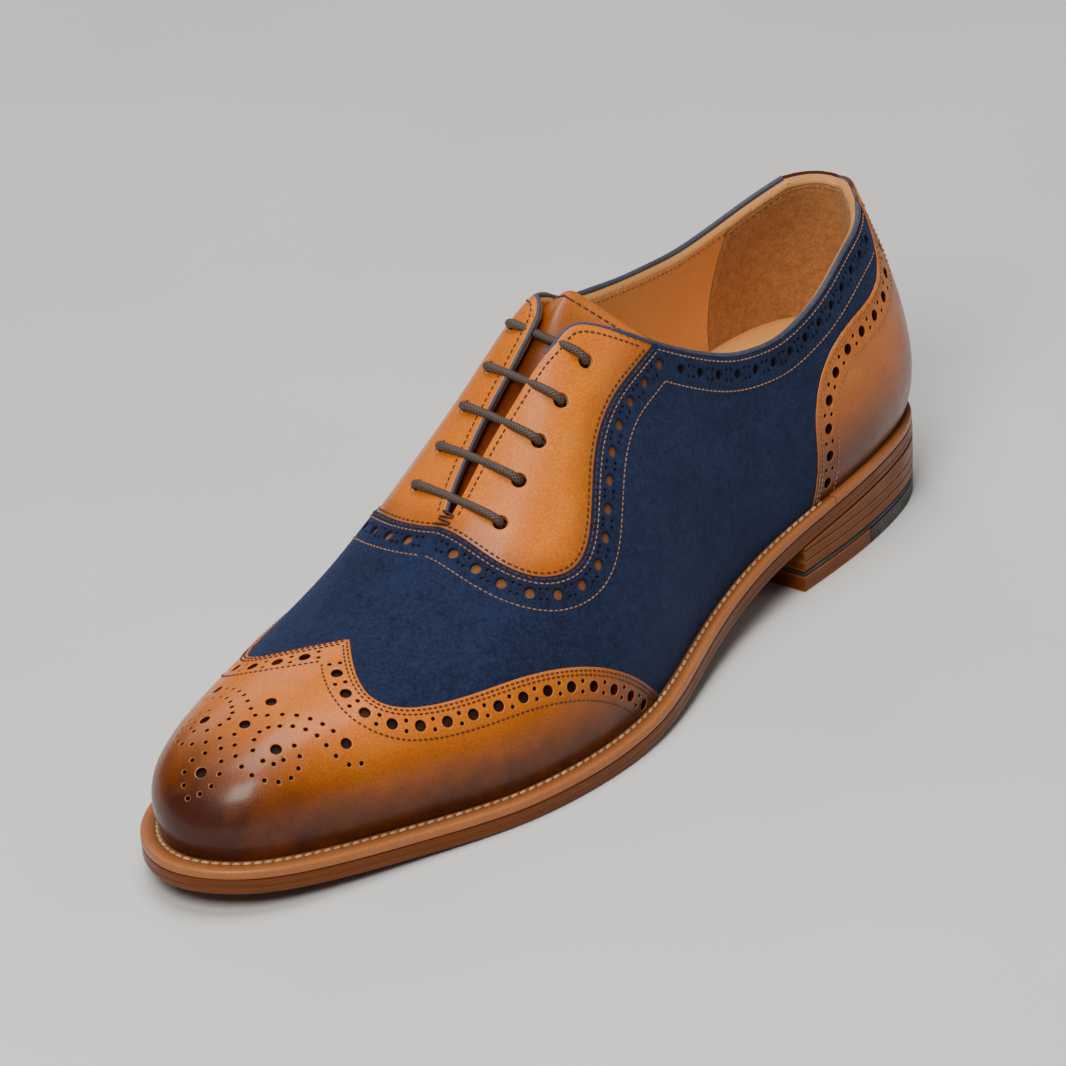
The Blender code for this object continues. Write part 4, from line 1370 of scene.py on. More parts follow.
class Graph:
    """Short calls for adding nodes to a material or a node group."""

    def __init__(self, tree: NodeTree) -> None:
        """Hold the tree that the nodes go into."""
        self.tree = tree

    def feed(self, sockets: Sequence[Socket], values: dict) -> None:
        """Link sockets to others, or set their values.

        Args:
            sockets: Inputs of a node.
            values: Value or source of each, by name or number.
        """
        for key, value in values.items():
            if isinstance(value, Socket):
                self.tree.links.new(value, sockets[key])
            elif sockets[key].type == "RGBA":
                sockets[key].default_value = (*value, 1.0)
            else:
                sockets[key].default_value = value

    def add(self, kind: str, inputs: Optional[dict] = None, **settings: object) -> bpy.types.Node:
        """Add a node.

        Args:
            kind: Blender's name of the node type.
            inputs: Values or sockets by input name or number.
            settings: Properties of the node.

        Returns:
            The node.
        """
        node = self.tree.nodes.new(kind)
        for key, value in settings.items():
            setattr(node, key, value)
        self.feed(node.inputs, inputs or {})
        return node

    def group(self, tree: NodeTree, **inputs: object) -> Sequence[Socket]:
        """Outputs of a shared effect with its inputs fed."""
        return self.add("ShaderNodeGroup", inputs, node_tree=tree).outputs

    def math(self, operation: str, first: object, second: object = 0.0,
             clamp: bool = False) -> Socket:
        """Result of a Math node."""
        return self.add("ShaderNodeMath", {0: first, 1: second}, operation=operation,
                        use_clamp=clamp).outputs[0]

    def plus(self, first: object, second: object, clamp: bool = False) -> Socket:
        """Sum of two values."""
        return self.math("ADD", first, second, clamp)

    def times(self, first: object, second: object) -> Socket:
        """Product of two values."""
        return self.math("MULTIPLY", first, second)

    def mix(self, factor: object, first: object, second: object) -> Socket:
        """Colour between two colours."""
        return self.add("ShaderNodeMix", {0: factor, 6: first, 7: second}, data_type="RGBA",
                        clamp_factor=True).outputs[2]

    def span(self, value: object, low: float, high: float, to_low: float = 0.0,
             to_high: float = 1.0) -> Socket:
        """Value carried from one range to another, with soft ends."""
        return self.add("ShaderNodeMapRange", {0: value, 1: low, 2: high, 3: to_low, 4: to_high},
                        interpolation_type="SMOOTHSTEP").outputs[0]

    def place(self) -> Socket:
        """The object's own coordinates."""
        return self.add("ShaderNodeTexCoord").outputs["Object"]

    def noise(self, scale: object, detail: float = 3.0, rough: float = 0.5,
              vector: Optional[Socket] = None) -> Socket:
        """Noise over the object's own coordinates, or over others."""
        return self.add("ShaderNodeTexNoise", {"Vector": vector or self.place(), "Scale": scale,
                                               "Detail": detail, "Roughness": rough}).outputs["Fac"]

    def mark(self, name: str) -> Socket:
        """Value painted on the mesh under a name."""
        return self.add("ShaderNodeAttribute", attribute_name=name).outputs["Fac"]

    def surface(self, depth: float, height: Socket, inputs: dict) -> None:
        """Feed the material's shader.

        Args:
            depth: Depth of its bump in millimetres.
            height: What the bump follows.
            inputs: Values or sockets by the shader's input name.
        """
        bump = self.add("ShaderNodeBump", {"Strength": 1.0, "Distance": depth * MM, "Height": height})
        shader = self.tree.nodes["Principled BSDF"]
        self.feed(shader.inputs, {**inputs, "Normal": bump.outputs["Normal"]})


FLOAT = "NodeSocketFloat"
COLOUR = "NodeSocketColor"
TAN_TONE = (0.5, 0.2, 0.05)


class Effect:
    """Node group in the making, with named sockets."""

    def __init__(self, name: str, inputs: Sequence[tuple[str, str, object]],
                 outputs: Sequence[tuple[str, str]]) -> None:
        """Make the sockets.

        Args:
            name: Name of the group.
            inputs: Name, socket type and default of each input.
            outputs: Name and socket type of each output.
        """
        self.tree = bpy.data.node_groups.new(name, "ShaderNodeTree")
        for label, kind, default in inputs:
            socket = self.tree.interface.new_socket(name=label, in_out="INPUT", socket_type=kind)
            socket.default_value = (*default, 1.0) if kind == COLOUR else default
        for label, kind in outputs:
            self.tree.interface.new_socket(name=label, in_out="OUTPUT", socket_type=kind)
        self.graph = Graph(self.tree)
        self.given = self.graph.add("NodeGroupInput").outputs
        self.target = self.graph.add("NodeGroupOutput").inputs

    def finish(self, **results: Socket) -> NodeTree:
        """Link the results to the outputs and hand the group over."""
        self.graph.feed(self.target, results)
        return self.tree


class Effects:
    """Node groups that more than one material uses."""

    def __init__(self) -> None:
        """Build every group once."""
        self.grain = self.leather_grain()
        self.patina_and_shade = self.patina_shade_group()
        self.rim = self.cut_rim()
        self.nap = self.brushed_nap()
        self.fibre = self.packed_fibre()

    @staticmethod
    def leather_grain() -> NodeTree:
        """Pebbled grain with pores.

        Returns:
            The group: Scale and Pebble in, Height and Pores out.
        """
        effect = Effect("leather_grain", [("Scale", FLOAT, 900.0), ("Pebble", FLOAT, 0.6)],
                        [("Height", FLOAT), ("Pores", FLOAT)])
        graph, given = effect.graph, effect.given
        wander = graph.noise(graph.times(given["Scale"], 0.35), 2.0)
        drift = graph.add("ShaderNodeCombineXYZ", {0: graph.times(wander, 0.0006),
                                                   1: graph.times(wander, -0.0005)})
        shifted = graph.add("ShaderNodeVectorMath", {0: graph.place(), 1: drift.outputs[0]}, operation="ADD")
        cells = graph.add("ShaderNodeTexVoronoi", {"Vector": shifted.outputs[0], "Scale": given["Scale"]},
                          feature="DISTANCE_TO_EDGE")
        raised = graph.span(cells.outputs["Distance"], 0.0, 0.22)
        fine = graph.noise(graph.times(given["Scale"], 2.3), 3.0, 0.6)
        return effect.finish(Height=graph.plus(graph.times(raised, given["Pebble"]), graph.times(fine, 0.5)),
                             Pores=graph.math("SUBTRACT", 1.0, raised))

    @staticmethod
    def patina_shade_group() -> NodeTree:
        """Rubbed patina and painted shade: colour drawn to the deep tone by the Mask, with clouds drawn out
        along the shoe.

        Returns:
            The group: three tones, Mask and Mottle in, Color and Depth out.
        """
        effect = Effect("patina_shade_group",
                        [("Base", COLOUR, TAN_TONE), ("Deep", COLOUR, (0.1, 0.03, 0.01)),
                         ("Light", COLOUR, (0.7, 0.35, 0.1)), ("Mask", FLOAT, 0.0), ("Mottle", FLOAT, 0.3)],
                        [("Color", COLOUR), ("Depth", FLOAT)])
        graph, given = effect.graph, effect.given
        strokes = graph.add("ShaderNodeMapping", {"Vector": graph.place(), "Rotation": (0.0, 0.0, 0.3),
                                                  "Scale": (0.55, 1.6, 1.0)})
        clouds = graph.noise(44.0, 4.0, 0.6, strokes.outputs["Vector"])
        rub = graph.noise(160.0, 3.0, 0.6)
        uneven = graph.plus(graph.times(graph.math("SUBTRACT", clouds, 0.5), given["Mottle"]),
                            graph.times(graph.math("SUBTRACT", rub, 0.5), 0.22))
        # The Mask brings burnishing and painted shade alike.
        depth = graph.plus(given["Mask"], graph.times(uneven, 0.9), clamp=True)
        lifted = graph.mix(graph.span(clouds, 0.48, 0.75, 0.0, 0.55), given["Base"], given["Light"])
        return effect.finish(Color=graph.mix(depth, lifted, given["Deep"]), Depth=depth)

    @staticmethod
    def cut_rim() -> NodeTree:
        """Colour that changes beside a cut edge.

        Returns:
            The group: two colours, Distance and Width in millimetres and Amount in, Color and Mask out.
        """
        effect = Effect("cut_rim",
                        [("Color", COLOUR, TAN_TONE), ("Edge", COLOUR, (0.1, 0.04, 0.02)),
                         ("Distance", FLOAT, 10.0), ("Width", FLOAT, 0.5), ("Amount", FLOAT, 0.8)],
                        [("Color", COLOUR), ("Mask", FLOAT)])
        graph, given = effect.graph, effect.given
        ragged = graph.times(graph.noise(900.0, 2.0), given["Width"])
        reach = graph.math("SUBTRACT", given["Distance"], graph.times(ragged, 0.5))
        share = graph.math("DIVIDE", reach, given["Width"])
        mask = graph.times(graph.span(share, 1.0, 0.0), given["Amount"])
        return effect.finish(Color=graph.mix(mask, given["Color"], given["Edge"]), Mask=mask)

    @staticmethod
    def brushed_nap() -> NodeTree:
        """Suede nap in two tones.

        Returns:
            The group: Dark, Light and Scale in, Color and Height out.
        """
        effect = Effect("brushed_nap",
                        [("Dark", COLOUR, (0.01, 0.02, 0.06)), ("Light", COLOUR, (0.03, 0.05, 0.12)),
                         ("Scale", FLOAT, 1400.0)],
                        [("Color", COLOUR), ("Height", FLOAT)])
        graph, given = effect.graph, effect.given
        fibres = graph.noise(given["Scale"], 4.0, 0.75)
        strokes = graph.noise(46.0, 4.0, 0.62)
        tufts = graph.noise(graph.times(given["Scale"], 0.33), 3.0, 0.6)
        tone = graph.plus(graph.times(graph.span(strokes, 0.35, 0.68), 0.22),
                          graph.times(graph.span(tufts, 0.35, 0.68), 0.25))
        tone = graph.plus(tone, graph.times(graph.span(fibres, 0.38, 0.64), 0.45))
        return effect.finish(Color=graph.mix(tone, given["Dark"], given["Light"]),
                             Height=graph.plus(fibres, tufts))

    @staticmethod
    def packed_fibre() -> NodeTree:
        """Edge of packed leather, fine lines along its layers.

        Returns:
            The group: Base, Dark, Level in metres and Lines in, Color and Height out.
        """
        effect = Effect("packed_fibre",
                        [("Base", COLOUR, (0.3, 0.12, 0.05)), ("Dark", COLOUR, (0.1, 0.04, 0.02)),
                         ("Level", FLOAT, 0.0), ("Lines", FLOAT, 2600.0)],
                        [("Color", COLOUR), ("Height", FLOAT)])
        graph, given = effect.graph, effect.given
        split = graph.add("ShaderNodeSeparateXYZ", {0: graph.place()}).outputs
        stretched = graph.add("ShaderNodeCombineXYZ", {
            0: graph.times(split[0], 30.0), 1: graph.times(split[1], 30.0),
            2: graph.times(given["Level"], given["Lines"])})
        lines = graph.noise(1.0, 4.0, 0.65, stretched.outputs[0])
        patches = graph.noise(70.0, 3.0)
        tone = graph.plus(graph.span(lines, 0.30, 0.66), graph.times(patches, 0.35), clamp=True)
        return effect.finish(Color=graph.mix(tone, given["Dark"], given["Base"]), Height=lines)


@dataclass(frozen=True)
class Finish:
    """Finish of a part: a name, a main colour, and a shader that each kind wires in its own way."""

    name: str
    base: Colour

    def material(self, effects: Effects) -> Material:
        """Build the finish.

        Args:
            effects: Shared node groups.

        Returns:
            The material.
        """
        material = bpy.data.materials.new(self.name)
        material.use_nodes = True
        material.diffuse_color = (*self.base, 1.0)
        self.wire(Graph(material.node_tree), effects)
        return material

    def wire(self, graph: Graph, effects: Effects) -> None:
        """Feed the shader of the new material."""
        raise NotImplementedError


@dataclass(frozen=True)
class Leather(Finish):
    """Smooth leather, darkened where its mesh is marked, for burnishing and for painted shade."""

    deep: Colour
    light: Colour
    edge: Colour = (0.12, 0.034, 0.010)
    roughness: float = 0.40
    specular: float = 0.22
    coat: float = 0.30
    coat_roughness: float = 0.22
    mottle: float = 0.35
    grain_scale: float = 950.0
    pebble: float = 0.35
    grain_depth: float = 0.06
    rim_width: float = 0.45
    rim_amount: float = 0.7
    pore_share: float = 0.22

    def wire(self, graph: Graph, effects: Effects) -> None:
        """Lay patina with the marked burnishing and painted shade, dark pores and a darker cut edge under a
        thin coat.

        Args:
            graph: Graph of the material.
            effects: Shared node groups.
        """
        grain = graph.group(effects.grain, Scale=self.grain_scale, Pebble=self.pebble)
        # The mark draws the colour to the deep tone: burnishing, and painted shade where the mesh carries
        # it.
        patina_and_shade = graph.group(effects.patina_and_shade, Base=self.base, Deep=self.deep, Light=self.light,
                             Mask=graph.mark("burnish_and_shade"), Mottle=self.mottle)
        pores = graph.mix(graph.times(grain["Pores"], self.pore_share), patina_and_shade["Color"], self.deep)
        rim = graph.group(effects.rim, Color=pores, Edge=self.edge, Distance=graph.mark("rim"),
                          Width=self.rim_width, Amount=self.rim_amount)
        smears = graph.span(graph.noise(120.0, 3.0), 0.3, 0.7, self.roughness - 0.05, self.roughness + 0.07)
        graph.surface(self.grain_depth, grain["Height"], {
            "Base Color": rim["Color"], "Roughness": graph.plus(smears, graph.times(rim["Mask"], 0.2)),
            "Specular IOR Level": self.specular, "Coat Weight": self.coat,
            "Coat Roughness": self.coat_roughness})


@dataclass(frozen=True)
class Suede(Finish):
    """Napped leather, whose base is the dark tone of the nap."""

    light: Colour
    edge: Colour
    sheen_tint: Colour
    sheen: float = 0.45
    sheen_roughness: float = 0.45
    specular: float = 0.25
    roughness: float = 0.95
    nap_scale: float = 1500.0
    nap_depth: float = 0.22
    rim_width: float = 0.35
    rim_amount: float = 0.6

    def wire(self, graph: Graph, effects: Effects) -> None:
        """Lay the nap with its sheen.

        Args:
            graph: Graph of the material.
            effects: Shared node groups.
        """
        nap = graph.group(effects.nap, Dark=self.base, Light=self.light, Scale=self.nap_scale)
        rim = graph.group(effects.rim, Color=nap["Color"], Edge=self.edge, Distance=graph.mark("rim"),
                          Width=self.rim_width, Amount=self.rim_amount)
        graph.surface(self.nap_depth, nap["Height"], {
            "Base Color": rim["Color"], "Roughness": self.roughness, "Sheen Weight": self.sheen,
            "Sheen Roughness": self.sheen_roughness, "Sheen Tint": self.sheen_tint,
            "Specular IOR Level": self.specular})


@dataclass(frozen=True)
class StackedLeather(Finish):
    """Edge of sole leather, lines of fibre running along it."""

    dark: Colour
    edge: Colour
    roughness: float = 0.42
    specular: float = 0.16
    coat: float = 0.05
    coat_roughness: float = 0.25
    lines: float = 2600.0
    line_depth: float = 0.07
    rim_width: float = 0.5
    rim_amount: float = 0.75

    def wire(self, graph: Graph, effects: Effects) -> None:
        """Lay the lines of fibre over a fine grain.

        Args:
            graph: Graph of the material.
            effects: Shared node groups.
        """
        height = graph.add("ShaderNodeSeparateXYZ", {0: graph.place()}).outputs[2]
        level = graph.plus(graph.mark("level"), graph.times(height, 0.02))
        fibre = graph.group(effects.fibre, Base=self.base, Dark=self.dark, Level=level, Lines=self.lines)
        grain = graph.group(effects.grain, Scale=1500.0)
        rim = graph.group(effects.rim, Color=fibre["Color"], Edge=self.edge, Distance=graph.mark("rim"),
                          Width=self.rim_width, Amount=self.rim_amount)
        rough = graph.span(graph.noise(90.0, 3.0), 0.3, 0.7, self.roughness - 0.06, self.roughness + 0.1)
        graph.surface(self.line_depth, graph.plus(fibre["Height"], graph.times(grain["Height"], 0.2)), {
            "Base Color": rim["Color"], "Roughness": rough, "Specular IOR Level": self.specular,
            "Coat Weight": self.coat, "Coat Roughness": self.coat_roughness})


@dataclass(frozen=True)
class Rubber(Finish):
    """Moulded heel rubber."""

    dust: Colour
    roughness: float = 0.55
    grain_depth: float = 0.05

    def wire(self, graph: Graph, effects: Effects) -> None:
        """Lay dusty clouds over a fine grain.

        Args:
            graph: Graph of the material.
            effects: Shared node groups.
        """
        grain = graph.group(effects.grain, Scale=2200.0)
        colour = graph.mix(graph.span(graph.noise(110.0, 4.0), 0.4, 0.75), self.base, self.dust)
        rough = graph.span(graph.noise(300.0), 0.3, 0.7, self.roughness - 0.07, self.roughness + 0.1)
        graph.surface(self.grain_depth, grain["Height"], {"Base Color": colour, "Roughness": rough})


@dataclass(frozen=True)
class Thread(Finish):
    """Waxed sewing thread, twisted, some stitches a little lighter than others."""

    worn: Colour
    roughness: float = 0.6
    strand_depth: float = 0.04

    def wire(self, graph: Graph, effects: Effects) -> None:
        """Twist the strands along each stitch.

        Args:
            graph: Graph of the material.
            effects: Shared node groups.
        """
        strands = graph.math("SINE", graph.times(graph.mark("along"), 28.0))
        tone = graph.plus(graph.times(strands, 0.12), graph.times(graph.mark("tone"), 0.6), clamp=True)
        graph.surface(self.strand_depth, graph.plus(strands, graph.noise(4000.0, 2.0)), {
            "Base Color": graph.mix(tone, self.base, self.worn), "Roughness": self.roughness})


@dataclass(frozen=True)
class Braid(Finish):
    """Round waxed lace, braided from fine yarns."""

    light: Colour
    yarns: float = 12.0
    pitch: float = 1.0 * MM
    roughness: float = 0.55
    yarn_depth: float = 0.09

    def wire(self, graph: Graph, effects: Effects) -> None:
        """Cross two sets of yarns round the lace.

        Args:
            graph: Graph of the material.
            effects: Shared node groups.
        """
        run = graph.times(graph.mark("along"), 2 * math.pi / self.pitch)
        turn = graph.times(graph.mark("turn"), self.yarns / 2)
        weave = graph.math("MAXIMUM", graph.math("SINE", graph.plus(run, turn)),
                           graph.math("SINE", graph.math("SUBTRACT", run, turn)))
        tone = graph.span(graph.plus(weave, graph.times(graph.noise(900.0), 0.6)), 0.1, 1.5)
        graph.surface(self.yarn_depth, weave, {
            "Base Color": graph.mix(tone, self.base, self.light), "Roughness": self.roughness})


@dataclass(frozen=True)
class Floor(Finish):
    """Plain pale floor with faint clouds."""

    light: Colour
    roughness: float = 0.85

    def wire(self, graph: Graph, effects: Effects) -> None:
        """Feed the shader with faint clouds, and no bump.

        Args:
            graph: Graph of the material.
            effects: Shared node groups.
        """
        clouds = graph.mix(graph.span(graph.noise(6.0), 0.3, 0.7), self.base, self.light)
        graph.feed(graph.tree.nodes["Principled BSDF"].inputs,
                   {"Base Color": clouds, "Roughness": self.roughness})


# Its deep tone serves the burnished toe and the painted shade low on the sides and on the walls.
TAN = Leather("tan_leather", (0.67, 0.160, 0.004), (0.044, 0.0075, 0.0015), (0.81, 0.26, 0.012),
              edge=(0.42, 0.15, 0.04), rim_width=0.28, rim_amount=0.6)
# Its deep tone is painted shadow at the bottom of the holes.
UNDERLAY = Leather("punched_underlay", (0.42, 0.16, 0.05), (0.014, 0.006, 0.004), (0.48, 0.20, 0.07),
                   roughness=0.8, coat=0.0, rim_amount=0.0)
LINING = Leather("lining_leather", (0.86, 0.42, 0.14), (0.46, 0.19, 0.055), (0.90, 0.49, 0.18),
                 edge=(0.34, 0.14, 0.04), roughness=0.45, coat=0.08, mottle=0.2, grain_scale=1300.0,
                 grain_depth=0.04)
SOCK = Leather("sock_leather", (0.84, 0.39, 0.11), (0.45, 0.18, 0.05), (0.88, 0.45, 0.14),
               edge=(0.36, 0.16, 0.05), roughness=0.42, coat=0.1, mottle=0.2, grain_scale=1300.0,
               grain_depth=0.04)
# Its deep tone serves as the painted shade of the tongue in the throat.
TONGUE_TAN = Leather("tongue_leather", (0.64, 0.155, 0.008), (0.08, 0.014, 0.004), (0.76, 0.25, 0.02))
# Its deep tone also serves as painted shade on the welt under the upper.
WELT = Leather("welt_leather", (0.35, 0.118, 0.034), (0.12, 0.036, 0.012), (0.46, 0.175, 0.06),
               edge=(0.20, 0.07, 0.025), roughness=0.42, coat=0.15, rim_width=0.3)
NAVY = Suede("navy_suede", (0.0022, 0.0045, 0.0165), (0.0145, 0.0265, 0.080), (0.006, 0.009, 0.022),
             (0.14, 0.22, 0.50), sheen=0.20, nap_scale=1250.0)
PIPING = Suede("piping_leather", (0.028, 0.032, 0.048), (0.08, 0.09, 0.125), (0.04, 0.05, 0.08),
               (0.6, 0.65, 0.8), sheen=0.15, roughness=0.5, nap_scale=2500.0, nap_depth=0.06)
GRIP = Suede("heel_grip_suede", (0.30, 0.130, 0.038), (0.52, 0.27, 0.10), (0.18, 0.07, 0.02),
             (0.9, 0.7, 0.5), sheen=0.3, nap_scale=900.0, nap_depth=0.3)
SOLE = StackedLeather("sole_leather", (0.150, 0.040, 0.007), (0.088, 0.023, 0.005), (0.070, 0.019, 0.006))
HEEL_STACK = StackedLeather("heel_stack_leather", (0.165, 0.043, 0.006), (0.115, 0.029, 0.005),
                            (0.30, 0.105, 0.028), lines=1300.0)
RUBBER = Rubber("black_rubber", (0.014, 0.014, 0.015), (0.0428, 0.0428, 0.045))
DARK_THREAD = Thread("dark_thread", (0.040, 0.011, 0.005), (0.12, 0.038, 0.016))
LIGHT_THREAD = Thread("light_thread", (0.26, 0.12, 0.060), (0.42, 0.22, 0.12))
CREAM_THREAD = Thread("cream_thread", (0.36, 0.21, 0.10), (0.62, 0.43, 0.24))
LACE = Braid("waxed_lace", (0.034, 0.020, 0.014), (0.088, 0.058, 0.044))
FLOOR = Floor("pale_floor", (0.64, 0.632, 0.62), (0.68, 0.672, 0.66))


def rim_gaps(points: Array, samples: Array) -> Array:
    """Distance of each point to the nearest sample."""
    tree = sample_tree(samples)
    return np.array([min(tree.find(point)[2], GAP_REACH) for point in points])


def rolled(gaps: Array, radius: float) -> Array:
    """Depth of a rounded edge at distances from it."""
    share = 1 - np.clip(gaps, 0, radius) / radius
    return radius * (1 - np.sqrt(np.maximum(0.0, 1 - share**2)))


def ramp(values: Array, low: float, high: float) -> Array:
    """Soft step from 0 to 1 between two values."""
    share = np.clip((values - low) / (high - low), 0, 1)
    return share * share * (3 - 2 * share)


@dataclass
class Upper:
    """Panels, lining, piping and seams over the last. Its ranges of burnishing and painted shade are
    millimetres.
    """

    last: Last
    seams: Seams
    under: float = -0.70 * MM
    facing_top: float = 0.0
    suede_top: float = 0.5 * MM
    cap_top: float = 0.9 * MM
    edge_roll: float = 0.38 * MM
    hole_roll: float = 0.18 * MM
    lip: float = 0.10 * MM
    lining_top: float = -3.0 * MM
    lining_out: float = -0.75 * MM
    seam_first: float = 0.95 * MM
    seam_second: float = 2.15 * MM
    band_row: float = 9.1 * MM
    suede_row: float = 9.9 * MM
    throat_row: float = 2.1 * MM
    topline_row: float = 1.5 * MM
    piping_radius: float = 0.72 * MM
    grip_reach: float = 0.150
    grip_thickness: float = 0.6 * MM
    grip_margin: float = 0.012
    lining_roll: float = 0.7 * MM
    # Painted shade: the sides darken towards the welt over these heights.
    low_shade: tuple[float, float] = (-2.0, 33.0)
    toe_dark: tuple[float, float] = (250.0, 300.0)
    toe_crown: tuple[float, float] = (22.0, 44.0)
    back_dark: tuple[float, float] = (-2.0, 30.0)

    def build(self, finishes: dict[str, Material]) -> None:
        """Build every piece of the upper.

        Args:
            finishes: Materials by name.
        """
        holes = Brogue(self.seams).holes()
        self.net = Net(self.last, self.seams, holes)
        LOG.info("net: %d triangles, %d holes", len(self.net.faces), len(holes))
        plan = ((Panel.QUARTERS, self.suede_top, "navy", "navy_suede", ("facing", "topline")),
                (Panel.WING, self.cap_top, "tan", "tan_leather", ("wing",)),
                (Panel.COUNTER, self.cap_top, "tan", "tan_leather", ("counter",)),
                (Panel.TAB, self.cap_top, "tan", "tan_leather", ("tab", "tab_top")),
                (Panel.FACING_OUTER, self.facing_top, "tan", "tan_leather", ("throat", "facing_top")),
                (Panel.FACING_INNER, self.facing_top, "tan", "tan_leather", ("throat", "facing_top")))
        for panel, top, finish, slot, rims in plan:
            self.panel(panel, top, rims, finishes[finish], slot)
        self.underlay(finishes["underlay"])
        self.lining(finishes["lining"], [hole for hole in holes if hole.through])
        self.grip(finishes["grip"])
        self.piping(finishes["piping"])
        self.sew(finishes)

    def panel(self, panel: Panel, top: float, rims: Sequence[str], material: Material,
              slot: str) -> None:
        """Build one panel: its face, its rounded edges and the walls of its holes.

        Args:
            panel: Which panel.
            top: Height of its face over the last.
            rims: Edges of the panel that are rounded.
            material: Its finish.
            slot: Record slot of the finish.
        """
        net = self.net
        chosen = (net.panels == list(Panel).index(panel)) & ~net.in_hole
        used, faces = np.unique(net.faces[chosen], return_inverse=True)
        faces = faces.reshape(-1, 3)
        points, normals, lift = net.points[used], net.normals[used], net.lift[used]
        edge_gaps = rim_gaps(points, self.edge_samples(rims, 0.1 * MM))
        hole_gaps = net.hole_gaps(points)
        height = top - np.maximum(rolled(edge_gaps, self.edge_roll), rolled(hole_gaps, self.hole_roll))
        outer = points + normals * (height + lift)[:, None]
        rim = open_edges(faces)
        rim_ids = sorted({k for edge in rim for k in edge})
        below = {k: len(points) + n for n, k in enumerate(rim_ids)}
        step = len(rim_ids)
        lip = outer[rim_ids] - normals[rim_ids] * self.lip
        inner = points[rim_ids] + normals[rim_ids] * (self.under + lift[rim_ids])[:, None]
        walls = [(b, a, below[a], below[b]) for a, b in rim]
        walls += [(below[b], below[a], below[a] + step, below[b] + step) for a, b in rim]
        pale = panel in (Panel.FACING_OUTER, Panel.FACING_INNER)
        marks = {"rim": np.minimum(edge_gaps, hole_gaps) / MM, "burnish_and_shade": self.burnish_and_shade(panel, points)}
        # Painted shade: the walls of the edges and holes take the deep tone, the facings' walls only a
        # little beside their pale raw edge.
        for name, wall in (("rim", 0.0 if pale else 3.0), ("burnish_and_shade", 0.2 if pale else 1.0)):
            marks[name] = np.concatenate([marks[name], np.full(2 * step, wall)])
        Shape(self.last, panel.value + "_leather", np.concatenate([outer, lip, inner]),
              [tuple(face) for face in faces] + walls, marks).build(material, slot, (panel.value,))

    def edge_samples(self, names: Sequence[str], step: Optional[float] = None) -> Array:
        """Points along edges of both sides, a step apart where one is given."""
        lines = [self.seams.lines[name][side] for name in names for side in (1, -1)]
        return np.concatenate([(line.even(step) if step else line).points() for line in lines])

    def burnish_and_shade(self, panel: Panel, points: Array) -> Array:
        """How far each point of a panel is darkened, from 0 to 1: painted shade low on the sides, a
        burnished toe on the wing, darker towards the heel's back on the counter and towards the seam on the
        facings.

        Args:
            panel: Which panel.
            points: Its points on the last.

        Returns:
            One value per point.
        """
        height = (points[:, 2] - self.last.welt_top(points[:, 0])) / MM
        x = points[:, 0] / MM
        # Painted shade, darker towards the welt.
        low = 1 - ramp(height, *self.low_shade)**1.5
        if panel is Panel.WING:
            toe = ramp(x, *self.toe_dark) * (1 - 0.5 * ramp(height, *self.toe_crown))
            return 1 - 0.95 * (1 - 0.97 * low) * (1 - 0.9 * toe)
        if panel is Panel.COUNTER:
            back = 1 - ramp(x, *self.back_dark)
            return 1 - 0.80 * (1 - 0.92 * low) * (1 - 0.5 * back)
        if panel in (Panel.FACING_OUTER, Panel.FACING_INNER):
            gaps = rim_gaps(points, self.edge_samples(("facing",)))
            return 0.42 * (1 - ramp(gaps, 0.5 * MM, 9.5 * MM))
        return np.full(len(points), 0.05)

    def underlay(self, material: Material) -> None:
        """Leather seen at the bottom of the punched holes, painted dark as shadow in the holes.

        Args:
            material: Underlay leather.
        """
        net = self.net
        used, faces = np.unique(net.faces[net.in_hole & ~net.through], return_inverse=True)
        points = net.points[used]
        # Painted shadow in the holes, a little lighter in the band beside the facings.
        dark = 0.55 + 0.45 * ramp(rim_gaps(points, self.edge_samples(("facing",))), 7.0 * MM, 9.0 * MM)
        points = points + net.normals[used] * (self.under + net.lift[used])[:, None]
        marks = {"rim": np.full(len(points), 5.0), "burnish_and_shade": dark}
        Shape(self.last, "punched_underlay", points, [tuple(face) for face in faces.reshape(-1, 3)],
              marks).build(material, "tan_leather")

    def lining(self, material: Material, eyelets: list[Hole]) -> None:
        """Wall of the upper under the panels, with the lining as its inner face.

        Args:
            material: Lining leather.
            eyelets: Holes that go through.
        """
        net = Net(self.last, self.seams, eyelets, clear=2.4 * MM, rings=(0.35 * MM, 0.9 * MM),
                  stations=110, rows=36)
        used, faces = np.unique(net.faces[~net.through], return_inverse=True)
        faces = faces.reshape(-1, 3)
        points, normals, lift = net.points[used], net.normals[used], net.lift[used]
        names = ("tab_top", "topline", "facing_top", "throat", "throat_end")
        gaps = rim_gaps(points, self.edge_samples(names, 0.2 * MM))
        outer = points + normals * (self.lining_out + lift)[:, None]
        inner = points + normals * (self.lining_top + lift + rolled(gaps, self.lining_roll))[:, None]
        marks = {"rim": np.tile(gaps / MM, 2), "burnish_and_shade": np.zeros(2 * len(points))}
        Shape(self.last, "upper_wall", np.concatenate([outer, inner]), sheet_faces(faces, faces),
              marks).build(material, "lining_leather", ("upper",))

    def collar_up(self, around: Array, side: int) -> Array:
        """How far up the last the collar's edge is.

        Args:
            around: Shares of the way from heel to toe.
            side: Side of the foot.

        Returns:
            Shares of the way up.
        """
        rows = [self.seams.lines[name][side] for name in ("tab_top", "topline")]
        places = np.concatenate([row.around for row in rows])
        return np.interp(around, places, np.concatenate([row.up for row in rows]))

